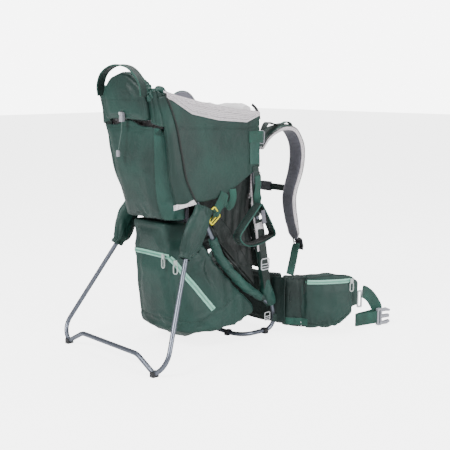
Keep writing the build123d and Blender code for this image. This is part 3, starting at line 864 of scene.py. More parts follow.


# %% [markdown]
# The big stretch pocket on the rear wall bulges, its top edge rises to the drawcord, and the space
# behind that edge is open, its floor sunk and painted dark as shade. A dart seam down each corner
# separates the back from the lighter flanks.

# %% Rear pocket
POCKET_CORNER = [at(99, -312, 590), at(80, -296, 464), at(72, -283, 402), at(76, -268, 356)]


def shape_pocket(p, n):
    shift = Vector((0, 0, 0))
    back_y = -0.268 - (p.z - 0.352) * 0.19
    lip = smoothstep(0.54, 0.60, p.z)
    centre = math.exp(-(p.x / 0.034) ** 2)
    shift.z += lip * (0.012 * centre - 0.004 * (1 - centre))
    behind = smoothstep(back_y + 0.004, back_y + 0.010, p.y)
    if n.z > 0.3:
        shift.z -= smoothstep(0.575, 0.592, p.z) * behind * 0.02
    belly = math.exp(-((p.z - 0.50) / 0.09) ** 2) * (1 - (p.x / 0.12) ** 2)
    if n.y < 0:
        shift.y -= 0.003 * max(0.0, belly)
    return shift


pocket = puffed("rear_pocket_bag", ["rear_pocket"], green_cloth, voxel=0.005, cap=0.005, pressure=3.5,
                held=[POCKET_CORNER, mirrored(POCKET_CORNER)], reach=0.03)
sculpt(pocket, shape_pocket)
creases(pocket, 0.0014, 0.07, (1.0, 1.0, 0.5), 5.5)
creases(pocket, 0.0022, 0.03, (1.2, 1.2, 0.4), 2.2, lambda p: smoothstep(0.40, 0.36, p.z))
finish_faces(pocket, green_cloth_light,
             lambda c, n: abs(c.x) > 0.060 + (c.z - 0.36) * 0.14 and abs(n.x) > 0.45)
# The upward faces inside the pocket mouth take the darkest cloth as painted shade behind the lip.
finish_faces(pocket, inner_cloth, lambda c, n: n.z > 0.5 and c.z > 0.56 and c.y > -0.300)
pocket_skin = skin_of(pocket)
corner_way = lambda p: Vector((-0.7 if p.x > 0 else 0.7, 0.7, 0))
seam_groove(pocket, [laid_on(pocket_skin, smooth_line(s), corner_way)[0]
                     for s in (POCKET_CORNER, mirrored(POCKET_CORNER))], 0.002)
pocket_skin = skin_of(pocket)
for line in (POCKET_CORNER, mirrored(POCKET_CORNER)):
    sewn("frame", pocket_skin, line, corner_way)
sewn("frame", pocket_skin, [at(-92, -312, 584), at(-40, -316, 585), at(0, -318, 596), at(40, -316, 585),
                            at(92, -312, 584)], forwards)
place(pocket, "frame", ["rear_pocket"])


# %% [markdown]
# The headrest is an arched shell. Its front rim is an elastic casing, so the cloth gathers into
# even ruffles, and short pleated gussets join it to the sides of the cockpit.

# %% Headrest, ruffled rim and gussets
HEAD_TILT = math.radians(8.2)
HEAD_BASE = at(0, -321.5, 600)


def on_headrest(across, up, forward):
    """A point on the leaning headrest, in millimetres across, up and towards its front."""
    return (HEAD_BASE + at(across, 0, 0) + Vector((0, -math.sin(HEAD_TILT), math.cos(HEAD_TILT))) * up * MM
            + Vector((0, math.cos(HEAD_TILT), math.sin(HEAD_TILT) * -1)) * forward * MM)


headrest = puffed("headrest_shell", ["headrest_pad"], green_cloth, cap=0.006)
finish_faces(headrest, pale_mesh, lambda c, n: n.y > 0.55)
creases(headrest, 0.0016, 0.06, (1, 1, 0.6), 8.8)
headrest_skin = skin_of(headrest)
headrest_seam = [on_headrest(across, up, -10) for across, up in ((-80, 52), (0, 54), (80, 52))]
sewn("frame", headrest_skin, headrest_seam, forwards)
place(headrest, "frame", ["headrest_pad"])

rim_arch = [at(124, -292, 668), at(112, -300, 680), on_headrest(88, 66, 22), on_headrest(72, 86, 24),
            on_headrest(42, 106, 25), on_headrest(0, 115, 26)]
rim_arch += mirrored(rim_arch[:-1])[::-1]
RUFFLES = 34


def ruffle_radius(share, angle):
    gather = abs(math.sin(share * math.pi * RUFFLES)) ** 0.7
    ends = smoothstep(0.0, 0.12, share) * smoothstep(1.0, 0.88, share)
    wobble = 0.0012 * noise.noise(Vector((share * 40, math.cos(angle), math.sin(angle))))
    return 0.0065 + (0.0035 + 0.0045 * gather) * ends + wobble


ruffle = roll("headrest_ruffle", smooth_line(rim_arch, 0.0022), ruffle_radius, green_cloth_light, 20,
              Vector((0, 1, 0.2)))
place(ruffle, "frame")


def pleated_gusset():
    top = [on_headrest(84, 68, 14), at(104, -309, 678), at(131, -300, 668)]
    bottom = [on_headrest(84, 2, 16), at(106, -300, 594), at(131, -270, 588)]
    rear = [top[0], on_headrest(84, 36, 15), bottom[0]]
    front = [top[-1], at(131.5, -283, 628), bottom[-1]]
    rows = patch(top, bottom, rear, front, 46, 30)
    count = len(rows[0])
    out = Vector((0.62, -0.78, 0))
    for row in rows:
        for j, point in enumerate(row):
            u = j / (count - 1)
            fold = abs(math.sin(u * math.pi * 3.5)) ** 0.6 - 0.5
            swell = math.sin(math.pi * u)
            row[j] = point + out * (0.008 * swell + 0.0045 * fold * swell ** 0.5)
    return rows


gusset_rows = pleated_gusset()
for side, rows in (("r", gusset_rows), ("l", [mirrored(row) for row in gusset_rows])):
    gusset = place(cloth_panel("headrest_gusset_" + side, rows, green_cloth), "frame")
    stretched_sheet(gusset, rows)

# %% [markdown]
# Each side of the cockpit is one cut of cloth between four edges: the mesh rim, the leg opening, the
# black piping at the rear and the frame at the front. A Coons patch fills four such edges smoothly.

# %% Cockpit sides
PANEL_OUT = 134.0
panel_top = [at(PANEL_OUT, y, z) for y, z in (
    (-302, 667), (-282, 660), (-221, 626), (-130, 608), (-31, 600), (17, 617))]
panel_bottom = [at(PANEL_OUT, y, z) for y, z in (
    (-207, 401), (-173, 400), (-120, 408), (-85, 421), (-19, 455), (20, 476))]
panel_rear = [at(PANEL_OUT, y, z) for y, z in (
    (-302, 667), (-267, 588), (-253, 525), (-239, 464), (-207, 401))]
panel_front = [at(PANEL_OUT, y, z) for y, z in ((17, 617), (19, 546), (20, 476))]


def bulged_panel():
    rows = patch(panel_top, panel_bottom, panel_rear, panel_front, 76, 60)
    for i, row in enumerate(rows):
        for j, point in enumerate(row):
            u = j / (len(row) - 1)
            v = i / (len(rows) - 1)
            crown = math.sin(math.pi * u) ** 0.7 * math.sin(math.pi * min(1, v * 1.02)) ** 0.8
            drape = noise.noise(Vector((point.y * 9, point.z * 22, 4.0))) * 0.0022
            pull = noise.noise(Vector((point.y * 24, point.z * 9, 9.0))) * 0.0012 * smoothstep(0.55, 1.0, v)
            row[j] = point + Vector((0.0035 * crown + drape * crown + pull, 0, 0))
    return rows


panel_rows = bulged_panel()
yoke_seam = [at(140, y, z) for y, z in ((-268, 589), (-193, 586), (-90, 582), (-22, 581), (18, 581))]
front_seam = [at(140, y, z) for y, z in ((-22, 603), (-22, 579), (-22, 540), (-21, 500), (-20, 462))]
for side, sign in (("r", 1), ("l", -1)):
    turn = (lambda line: line) if sign > 0 else mirrored
    panel = cloth_panel("cockpit_side_" + side, [turn(row) for row in panel_rows], green_cloth, 0.002)
    panel_skin = skin_of(panel)
    way = Vector((-sign, 0, 0))
    grooves = [laid_on(panel_skin, smooth_line(turn(line), 0.004), way)[0]
               for line in (yoke_seam, front_seam)]
    seam_groove(panel, grooves, 0.0012, 0.003)
    panel_skin = skin_of(panel)
    for line in (yoke_seam, front_seam):
        sewn("frame", panel_skin, turn(line), way)
        sewn("frame", panel_skin, [p + Vector((0, 0.004, -0.005)) for p in turn(line)], way)
    place(panel, "frame", ["side_panel_" + side])
    stretched_sheet(panel, panel_rows)


# %% [markdown]
# The rim is a roll of perforated spacer mesh folded over the top tube, wide at the back where the
# child leans and narrow at the front. The holes are a second use of the row tree.

# %% Mesh rim, piping and the lighter front edge
def level(points, y):
    """The height of a (Y, Z) outline at Y, in millimetres."""
    ys = [p[0] for p in points]
    return float(np.interp(y, ys, [p[1] for p in points]))


RIM_LOW = [(-302, 667), (-282, 660), (-221, 626), (-130, 608), (-31, 600), (17, 617)]
RIM_HIGH = [(-302, 676), (-259, 664), (-174, 645), (-56, 625), (17, 619)]


def rim_rows():
    rows = []
    for k in range(90):
        y = -300 + 316 * k / 89
        low = level(RIM_LOW, y)
        high = max(level(RIM_HIGH, y), low + 3)
        puff = 3 + 3 * math.sin(math.pi * k / 89)
        section = [at(135.5, y, low - 5), at(137.5 + puff * 0.3, y, low + (high - low) * 0.35),
                   at(133 + puff * 0.4, y, low + (high - low) * 0.75), at(125, y, high + 1),
                   at(116, y, high + 1), at(108, y, high - 6), at(105, y, high - 24), at(106, y, high - 60)]
        rows.append(smooth_line(section, 0.004)[:24])
    shortest = min(len(row) for row in rows)
    return [resample(row, lengths_along(row)[-1] / (shortest - 1))[:shortest] for row in rows]


rim = rim_rows()
HOLE_PITCH = 0.0048
piping_line = smooth_line([at(136, y, z) for y, z in ((-304, 672), (-284, 632), (-268, 588), (-254, 525),
                                                       (-240, 464), (-224, 430), (-206, 399))], 0.003)
for side, sign in (("r", 1), ("l", -1)):
    turn = (lambda line: line) if sign > 0 else mirrored
    place(cloth_panel("mesh_rim_" + side, [turn(row) for row in rim], pale_mesh, 0.004), "frame")
    for j in range(2, min(12, len(rim[0]) - 3)):
        column = turn([row[j] for row in rim])
        inside = turn([row[j + 1] for row in rim])
        outs = []
        for point, ahead, near_in in zip(column, directions(column), inside):
            out = ahead.cross(near_in - point).normalized()
            outs.append(out if out.x * sign + out.z > 0 else -out)
        start = 0 if j % 2 else 1
        sunk = [p + o * 0.0021 for p, o in zip(column[start:], outs[start:])]
        add_row("frame", "hole", sunk, outs[start:])
    piping = roll("rear_piping_" + side, turn(piping_line), lambda s, a: 0.0024, inner_cloth, 10)
    place(piping, "frame")
    edge_path = turn([at(137.2, -1, z) for z in (571, 555, 540, 520, 500, 484)])
    edge_strip = webbing("front_edge_cloth_" + side, smooth_line(edge_path), Vector((0, 1, 0)), 0.036,
                         green_cloth_light, 0.0016)
    place(edge_strip, "frame")


# %% [markdown]
# Behind each side panel the cloth turns round the rear tube to meet the pocket, so no lining shows
# between the two. It is one curved strip that bulges a little where it passes the tube.

# %% Rear corners
corner_outer = [at(133.6, y, z) for y, z in ((-301, 666), (-267, 588), (-253, 525), (-239, 464),
                                             (-207, 401))]
corner_inner = [at(96, -300, 652), at(104, -284, 588), at(100, -272, 525), at(88, -262, 464),
                at(78, -240, 392)]



def corner_rows():
    top = [corner_outer[0], at(118, -306, 662), corner_inner[0]]
    bottom = [corner_outer[-1], at(112, -236, 396), corner_inner[-1]]
    rows = patch(top, bottom, corner_outer, corner_inner, 26, 60)
    for i, row in enumerate(rows):
        for j, point in enumerate(row):
            u = j / (len(row) - 1)
            v = i / (len(rows) - 1)
            crown = math.sin(math.pi * u) ** 0.8 * math.sin(math.pi * (0.06 + 0.88 * v)) ** 0.4
            fold = noise.noise(Vector((u * 3, v * 9, 7.0))) * 0.0018
            row[j] = point + Vector((0.4, -0.9, 0)) * (0.010 * crown + fold * crown)
    return rows


for side, sign in (("r", 1), ("l", -1)):
    rows = [row if sign > 0 else mirrored(row) for row in corner_rows()]
    corner = place(cloth_panel("rear_corner_" + side, rows, green_cloth, 0.002), "frame")
    stretched_sheet(corner, rows)
    hem = smooth_line([at(sign * 136, -208, 402), at(sign * 122, -232, 395), at(sign * 104, -245, 388),
                       at(sign * 84, -246, 382)])
    place(webbing("corner_mesh_" + side, hem, Z_AXIS, 0.013, pale_mesh), "frame")

# %% [markdown]
# Inside the cockpit the child sees pale spacer mesh on the walls and a soft white chin pad across
# the front. Below it the seat hangs on dark gussets, and the child's harness lies on the back rest.

# %% Cockpit lining and chin pad
def lining(name, y_top, z_top, y_low, z_low, half, node):
    rows = []
    for i in range(24):
        v = i / 23
        row = []
        for j in range(40):
            u = j / 39 * 2 - 1
            y = y_top + (y_low - y_top) * v
            sag = 5 * (1 - u * u) * math.sin(math.pi * v) + 2.2 * noise.noise(Vector((u * 3, v * 4, y_top)))
            row.append(at(u * half, y + sag * (1 if y_low > y_top else -1) * 0.5,
                          z_top + (z_low - z_top) * v))
        rows.append(row)
    place(cloth_panel(name, rows, pale_mesh, 0.004), "frame", [node])


lining("rear_lining", -291, 634, -211, 402, 110, "rear_wall")
lining("front_lining", -1, 560, 8, 388, 110, "front_wall")
for side, sign in (("r", 1), ("l", -1)):
    turn = (lambda line: line) if sign > 0 else mirrored
    inner = [[Vector((p.x * 0.0 + 0.1265, p.y, p.z - 0.004)) for p in row] for row in panel_rows[6:-3:2]]
    lining = place(cloth_panel("side_lining_" + side, [turn(row) for row in inner], pale_mesh, 0.002),
                   "frame")
    stretched_sheet(lining, inner)
white_fleece = pack_cloth("white_fleece", linear(226, 224, 226), linear(246, 245, 246), 0.002, 0.9, 0.5, 0.6)
chin_pad = puffed("chin_pad_fleece", ["chin_pad"], white_fleece, cap=0.006)
creases(chin_pad, 0.004, 0.045, (1, 1, 1), 4.4)
place(chin_pad, "frame", ["chin_pad"])


def cheek_pad():
    """The far cheek pad: an arch of grey mesh with a green binding."""
    rows = []
    for i in range(14):
        v = i / 13
        row = []
        for j in range(30):
            u = j / 29
            y = -88 + 96 * u
            arch = 671 - 30 * abs(2 * u - 1) ** 2.4
            z = 612 + (arch - 612) * v
            row.append(at(-112 + 6 * math.sin(math.pi * u) * math.sin(math.pi * v), y, z))
        rows.append(row)
    return rows


cheek_rows = cheek_pad()
place(cloth_panel("cheek_pad", cheek_rows, grey_mesh, 0.007), "frame")
place(roll("cheek_pad_binding", resample(cheek_rows[-1], 0.004), lambda s, a: 0.0036, green_cloth_light, 12),
      "frame")

# %% Seat, back rest and child harness
seat_cushion = puffed("seat_cushion", ["seat_pad"], inner_cloth, cap=0.008, pressure=5.0)
seam_groove(seat_cushion, [[at(x, -160, 286), at(x, -100, 288), at(x, -36, 286)] for x in (-34, 34)],
            0.005, 0.008)
place(seat_cushion, "seat", ["seat_pad"])
back_rest = puffed("seat_back_rest", ["seat_back"], grey_mesh, cap=0.004, shrink=0.001)
seam_groove(back_rest, [[at(-70, -178, z), at(70, -178, z)] for z in (340, 400, 460)], 0.004, 0.006)
place(back_rest, "seat", ["seat_back"])
harness_straps = []
for sign in (1, -1):
    path = smooth_line([at(sign * 44, -176, 500), at(sign * 44, -173, 450), at(sign * 42, -172, 400),
                        at(sign * 30, -171, 366), at(sign * 16, -170, 352)])
    harness_straps.append(webbing("child_strap", path, Vector((1, 0, 0)), 0.025, dark_strap))
    pad = [at(sign * 44, -172, z) for z in (492, 470, 445, 420)]
    harness_straps.append(webbing("child_strap_pad", smooth_line(pad), Vector((1, 0, 0)), 0.036, grey_mesh,
                                  0.006))
waist = smooth_line([at(-57, -176, 346), at(-30, -172, 348), at(0, -171.5, 348), at(30, -172, 348),
                     at(57, -176, 346)])
harness_straps.append(webbing("child_waist", waist, Vector((0, 0, 1)), 0.022, dark_strap))
place(joined("child_harness_straps", harness_straps), "seat", ["child_harness"])


def gusset_rows_right():
    top = [at(110, -147, 366), at(110, -106, 348), at(110, -58, 300), at(110, -18, 240), at(110, 13, 182)]
    low = [at(110, -140, 352), at(110, -86, 250), at(110, -40, 200), at(110, -14, 175), at(110, 19, 146)]
    rows = patch(top, low, [top[0], low[0]], [top[-1], low[-1]], 60, 16)
    for i, row in enumerate(rows):
        for j, point in enumerate(row):
            fold = noise.noise(Vector((point.y * 30, point.z * 30, 2.0))) * 0.005
            row[j] = point + Vector((fold, 0, 0))
    return rows


seat_side = gusset_rows_right()
gusset_sides = [cloth_panel("seat_side_cloth", rows, inner_cloth, 0.004)
                for rows in (seat_side, [mirrored(row) for row in seat_side])]
place(joined("seat_side_cloths", gusset_sides), "frame", ["seat_gussets"])


def seat_side_wall():
    """The dark cloth that closes the side below the cockpit, from the panel down to the bag."""
    top = [at(118, -205, 410), at(118, -120, 418), at(118, -60, 440), at(118, 6, 476)]
    low = [at(116, -160, 330), at(116, -90, 262), at(116, -30, 200), at(116, 20, 150)]
    rows = patch(top, low, [top[0], low[0]], [top[-1], at(117, 8, 380), at(117, 14, 260), low[-1]], 50, 50)
    for i, row in enumerate(rows):
        v = i / (len(rows) - 1)
        for j, point in enumerate(row):
            fold = math.sin(point.y * 120 + v * 2) * 0.004 + noise.noise(point * 18) * 0.006
            row[j] = point - Vector(((0.010 + abs(fold)) * math.sin(math.pi * v), 0, 0))
    return rows


wall_rows = seat_side_wall()
for side, rows in (("r", wall_rows), ("l", [mirrored(row) for row in wall_rows])):
    wall = place(cloth_panel("seat_side_wall_" + side, rows, inner_cloth, 0.0014), "frame")
    stretched_sheet(wall, rows)

# %% [markdown]
# Cloth rolls hide the diagonal tubes, and a boot closes each foot where two tubes meet. A roll is a
# tube whose radius wanders with noise and twists a little, as cloth does when it is pulled over.

# %% Tube covers and boots
def wrung(radius, gather, twist, seed):
    def at_angle(share, angle):
        spot = Vector((math.cos(angle + share * twist), math.sin(angle + share * twist), share * 5 + seed))
        fine = noise.noise(spot * 2.3) * gather
        ends = 1 - 0.12 * (abs(2 * share - 1) ** 8)
        return (radius + fine + noise.noise(spot) * gather) * ends
    return at_angle


cover_route = [at(122, 40, 109.3), at(122, -29, 157), at(122, -103, 231), at(122, -140, 297)]
boot_route = [at(120, 84, 86), at(121, 66, 112), at(122, 56, 150), at(122, 46, 205), at(122, 39, 250)]


def boot_radius(share, angle):
    swell = 0.0135 + 0.0075 * math.exp(-((share - 0.2) / 0.16) ** 2) * (1 + 0.5 * math.cos(angle - 2.6))
    fold = noise.noise(Vector((math.cos(angle) * 2.2, math.sin(angle) * 2.2, share * 9)))
    return swell + fold * 0.003


covers = []
for side in (1, -1):
    turn = (lambda line: line) if side > 0 else mirrored
    covers.append(roll("diagonal_roll", smooth_line(turn(cover_route)), wrung(0.0122, 0.0024, 7.0, 1.5),
                       green_cloth_light, 28))
    covers.append(roll("foot_boot", smooth_line(turn(boot_route)), boot_radius, green_cloth_light, 36))
    hem = smooth_line(turn([at(122, 36, 106), at(122, 45, 114)]), 0.002)
    covers.append(roll("roll_hem", hem, lambda s, a: 0.0142 - 0.002 * abs(2 * s - 1) ** 4, green_cloth, 28))
place(joined("tube_cover_cloth", covers), "frame", ["tube_covers"])

# %% [markdown]
# A gathered sleeve closes the top of each kickstand leg. It starts on the frame and ends on the leg;
# here it is one fixed sleeve.

# %% Kickstand sleeves
sleeve_route = [at(138, -187, 386), at(142, -196, 366), at(143, -209, 342), at(142, -224, 314),
                at(139, -242, 282),
                at(143, -252, 262)]


def sleeve_radius(share, angle):
    width = 0.0245 + 0.009 * math.sin(math.pi * min(1.0, share * 1.12)) - 0.009 * smoothstep(0.8, 0.97,
                                                                                             share)
    flat = 1 - 0.42 * abs(math.cos(angle))
    gather = abs(math.sin(angle * 7 + share * 2)) * 0.003 * smoothstep(0.35, 1.0, share)
    top = abs(math.sin(angle * 4)) * 0.003 * smoothstep(0.4, 0.0, share)
    lump = noise.noise(Vector((math.cos(angle) * 1.6, math.sin(angle) * 1.6, share * 5 + 3))) * 0.006
    hem = 0.0025 * math.exp(-((share - 0.96) / 0.02) ** 2)
    return max(0.0085, (width + gather + top + lump) * flat + hem)


for side, sign in (("r", 1), ("l", -1)):
    route = smooth_line(sleeve_route if sign > 0 else mirrored(sleeve_route), 0.003)
    sleeve = roll("leg_sleeve_" + side, route, sleeve_radius, green_cloth, 56, caps=False)
    skin = sleeve.modifiers.new("cloth", "SOLIDIFY")
    skin.thickness = 0.0015
    skin.offset = -1
    settle(sleeve)
    if sign > 0:
        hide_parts("stand_sleeves")
    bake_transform(sleeve)

# %% [markdown]
# The back of the pack that touches the wearer is dark spacer mesh over foam, sewn into channels that
# let air through. The hip pad at its foot is wider and stiffer.

# %% Back pad and lumbar pad
back_foam = puffed("back_foam", ["back_pad"], dark_mesh, cap=0.006)
channels = [[at(x, 34, 550), at(x, 42, 400), at(x, 78, 215)] for x in (-36, 36)]
channels += [[at(-90, y, z), at(90, y, z)] for y, z in ((34, 500), (42, 400), (62, 300))]
back_skin = skin_of(back_foam)
backwards = Vector((0, -1, 0))
seam_groove(back_foam, [laid_on(back_skin, smooth_line(c), backwards)[0] for c in channels], 0.005, 0.009)
finish_faces(back_foam, pale_mesh, lambda c, n: abs(n.x) > 0.6)
back_skin = skin_of(back_foam)
for channel in channels:
    sewn("frame", back_skin, channel, backwards)
place(back_foam, "frame", ["back_pad"])
lumbar = puffed("lumbar_foam", ["lumbar_pad"], dark_mesh, cap=0.006)
lumbar_channels = [[at(x, 110, 40), at(x, 110, 150)] for x in (-60, 0, 60)]
lumbar_skin = skin_of(lumbar)
lumbar_grooves = [laid_on(lumbar_skin, smooth_line(c), backwards)[0] for c in lumbar_channels]
seam_groove(lumbar, lumbar_grooves, 0.004, 0.008)
place(lumbar, "frame", ["lumbar_pad"])

# %% [markdown]
# A shoulder strap is one shaped loft. Its body side is grey mesh, its rolled edge is pale mesh with a
# dark piping, and its outer face is pack cloth. The section is set out by angle, so each face can be
# given its own cloth by where it lies round the section.

# %% Shoulder straps
STRAP_ROUTE = [(52, 522), (74, 545), (100, 560), (140, 572), (180, 566), (206, 536), (216, 496), (208, 444),
               (190, 398), (184, 362), (194, 310), (212, 250)]
STRAP_MIDDLE = 92
STRAP_SIDES = 36


def strap_rows(sign):
    line = smooth_line([at(sign * STRAP_MIDDLE, y, z) for y, z in STRAP_ROUTE], 0.004)
    rows = []
    last = len(line) - 1
    for k, (point, ahead) in enumerate(zip(line, directions(line))):
        share = k / last
        body_side = Vector((1, 0, 0)).cross(ahead).normalized()
        half = 0.0265 - 0.006 * smoothstep(0.45, 1.0, share)
        half *= min(1.0, (max(0.0, (1 - share) * last * 0.004) / 0.02 + 0.25)) ** 0.5
        thick = 0.0078 * min(1.0, max(0.35, (1 - share) * 9))
        row = []
        for j in range(STRAP_SIDES):
            angle = 2 * math.pi * j / STRAP_SIDES
            c, s = math.cos(angle), math.sin(angle)
            wide = math.copysign(abs(c) ** 0.6, c) * half
            deep = math.copysign(abs(s) ** 0.75, s) * thick
            ripple = noise.noise(Vector((share * 16, c * 1.5, s + sign))) * 0.0012
            row.append(point + Vector((wide, 0, 0)) + body_side * (deep + ripple))
        rows.append(row)
    return line, rows


piping_pieces = []
for side, sign in (("r", 1), ("l", -1)):
    line, rows = strap_rows(sign)
    strap = surface("shoulder_strap_pad_" + side, rows, green_cloth, ring=True, caps=True)
    strap.data.materials.append(grey_mesh)
    strap.data.materials.append(pale_mesh)
    ring_faces = (len(rows) - 1) * STRAP_SIDES
    for index, face in enumerate(strap.data.polygons):
        spot = (index % STRAP_SIDES + 0.5) / STRAP_SIDES if index < ring_faces else 0.0
        inner_face = 0.56 < spot < 0.94
        rolled_edge = spot < 0.10 or spot > 0.90 or 0.40 < spot < 0.60
        face.material_index = 1 if inner_face and not rolled_edge else 2 if rolled_edge else 0
    place(strap, "harness", ["shoulder_strap_" + side])
    for j in (3, STRAP_SIDES // 2 - 3):
        edge = [row[j] + (row[j] - p) * 0.03 for row, p in zip(rows[:-4], line)]
        piping_pieces.append(roll("strap_piping", resample(edge, 0.004), lambda s, a: 0.0014, inner_cloth,
                                  8))
    outer = smooth_line([row[STRAP_SIDES // 4] + (row[STRAP_SIDES // 4] - p).normalized() * 0.0012
                         for row, p in list(zip(rows, line))[10:-3:6]])
    piping_pieces.append(webbing("strap_webbing", outer, Vector((1, 0, 0)), 0.025, dark_strap))
place(joined("shoulder_strap_trim", piping_pieces), "harness")
yoke = puffed("harness_yoke_pad", ["harness_yoke"], green_cloth_dark, voxel=0.004, shrink=0.0, cap=0.003)
place(yoke, "harness", ["harness_yoke"])

# %% [markdown]
# The hip belt has two stuffed fins. Each carries a zipped pocket that bulges more than the fin, with
# darts at its lower edge, a bright zip along its top, and a bar of close stitches at its foot.

# %% Hip fins and their zips
FIN_POCKET = [(192, 146), (223, 178), (253, 228), (262, 256)]


def outside_of_fin(distance, z):
    """A line outside the right fin's pocket, along its run, at a height in millimetres."""
    return [at(x + distance * 0.86, y - distance * 0.5, z) for x, y in FIN_POCKET]


def fin_way(p):
    return Vector((-0.86 if p.x > 0 else 0.86, 0.5, 0))


fin_zip_low, fin_zip_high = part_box("fin_zip_tape_r")
fin_zip_z = (fin_zip_low.z + fin_zip_high.z) / 2 / MM
zip_line_r = outside_of_fin(17, fin_zip_z)
pocket_front_r = [at(x, y, z) for x, y, z in ((196, 120, 160), (198, 121, 120), (200, 123, 70),
                                              (206, 130, 30))]
pocket_foot_r = [at(x, y, z) for x, y, z in ((206, 130, 32), (236, 165, 28), (262, 205, 34), (276, 235, 58),
                                            (282, 252, 90), (280, 254, 140))]
for side, sign in (("r", 1), ("l", -1)):
    turn = (lambda line: line) if sign > 0 else mirrored
    body = "fin_" + side
    fin = puffed("hip_fin_pad_" + side, ["hip_fin_" + side], green_cloth, voxel=0.005, cap=0.006,
                 held=[turn(zip_line_r)], reach=0.03)
    creases(fin, 0.0018, 0.05, (1, 1, 1.2), 6.1 + sign)
    creases(fin, 0.0026, 0.022, (1.5, 1.5, 0.4), 2.6, lambda p: smoothstep(0.075, 0.035, p.z))
    finish_faces(fin, dark_mesh, lambda c, n: n.x * sign * 0.86 - n.y * 0.5 < -0.35)
    fin_skin = skin_of(fin)
    seams = [laid_on(fin_skin, smooth_line(turn(s)), fin_way)[0] for s in (pocket_front_r, pocket_foot_r)]
    seam_groove(fin, seams, 0.0022, 0.004)
    finish_faces(fin, green_cloth_dark, lambda c, n: abs(c.x) < 0.192 and n.x * sign > -0.2)
    fin_skin = skin_of(fin)
    for line in (pocket_front_r, pocket_foot_r):
        sewn(body, fin_skin, turn(line), fin_way)
    zip_tape("fin_zip_cloth_" + side, body, fin_skin, turn(zip_line_r), fin_way, 0.012,
             ["fin_zip_tape_" + side])
    place(fin, body, ["hip_fin_" + side])
    trim = []
    bottom = turn([at(x, y, 36) for x, y in ((152, 104), (176, 112), (196, 120), (214, 136))])
    path, outs = laid_on(fin_skin, smooth_line(bottom), fin_way, 0.0016)
    trim.append(webbing("fin_bottom_webbing", path, Vector((0, 0, 1)), 0.020, green_strap))
    bar = turn([at(206, 126, 24), at(203, 123, 42)])
    path, outs = laid_on(fin_skin, smooth_line(bar, 0.002), fin_way, 0.0014)
    trim.append(roll("fin_bartack", path, lambda s, a: 0.0011, white_fleece, 8))
    top_edge = turn([at(x, y, 163) for x, y in ((160, 108), (190, 128), (222, 158), (252, 206), (262, 238))])
    top_edge = [Vector((p.x, p.y, p.z - 0.002 + 0.004 * math.sin(k))) for k, p in enumerate(top_edge)]
    trim.append(roll("fin_top_binding", resample(laid_on(fin_skin, smooth_line(top_edge),
                                                         Vector((0, 0, -1)))[0],
                                                 0.004), lambda s, a: 0.002, green_cloth_dark, 8))
    place(joined("fin_trim_" + side, trim), body)

# %% [markdown]
# A flap of cloth bridges the lumbar pad and each fin. On the real pack it turns with the fin at one
# edge only; here it is one fixed sheet.

# %% Fin roots
def root_rows():
    rows = []
    for k in range(22):
        z = 30 + 130 * k / 21
        swell = 2.5 * math.sin(math.pi * k / 21)
        rows.append(resample(smooth_line([at(114, 94 - swell, z), at(124, 97 - swell, z),
                                          at(133, 101 - swell, z),
                                          at(144, 104 - swell, z), at(156, 105 - swell, z)]), 0.003))
    return rows


for side in ("r", "l"):
    rows = [row if side == "r" else mirrored(row) for row in root_rows()]
    root = cloth_panel("fin_root_cloth_" + side, rows, green_cloth_dark, 0.002)
    sign = 1 if side == "r" else -1
    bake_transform(root)
    stretched_sheet(root, rows)

# %% [markdown]
# The belt webbing leaves the ring at the fin's tip, turns over once, and comes back through itself to
# the buckle. One ribbon carries it: its path and the direction of its width are given together.

# %% Hip belt webbing
belt_stations = [
    # point, direction of the width
    (at(269.5, 304, 107), (0, -0.1, 1)),
    (at(270.5, 316, 103), (0, 0.05, 1)),
    (at(273.5, 337, 88), (0, 0.15, 1)),
    (at(277.0, 354, 66), (0.1, 0.3, 0.95)),
    (at(279.5, 364, 46), (0.1, 0.25, 0.95)),
    (at(277.0, 358, 33), (0.1, 0.1, 1)),
    (at(270.0, 330, 28), (0, 0, 1)),
    (at(265.5, 305, 27), (0, 0, 1)),
    (at(263.5, 289, 26), (0, 0, 1)),
    (at(266.0, 281, 26), (0, 0, 1)),
    (at(270.5, 284, 26), (0, 0, 1)),
    (at(277.0, 308, 26), (0, 0, 1)),
    (at(283.5, 334, 26), (0, 0, 1)),
    (at(288.5, 353, 26), (0, 0, 1)),
]


def along_stations(stations, sign, step=0.003):
    """A path and the width direction at each of its points, from a few stations."""
    points = [Vector((p.x * sign, p.y, p.z)) for p, _ in stations]
    sides = [Vector((w[0] * sign, w[1], w[2])) for _, w in stations]
    path = smooth_line(points, step)
    marks = np.array(lengths_along(points))
    marks = marks / marks[-1] * lengths_along(path)[-1]
    here = np.array(lengths_along(path))
    widths = [Vector([float(np.interp(h, marks, [s[k] for s in sides])) for k in range(3)]) for h in here]
    return path, widths


for side, sign in (("r", 1), ("l", -1)):
    path, widths = along_stations(belt_stations, sign)
    belt = webbing("belt_ribbon_" + side, path, widths, 0.036, green_strap)
    place(belt, "belt_" + side, ["hip_webbing_" + side])

# %% [markdown]
# A ladder lock is a moulded frame with two bars. The webbing comes up through the first window, over
# the bar and down through the second, which is what grips it.

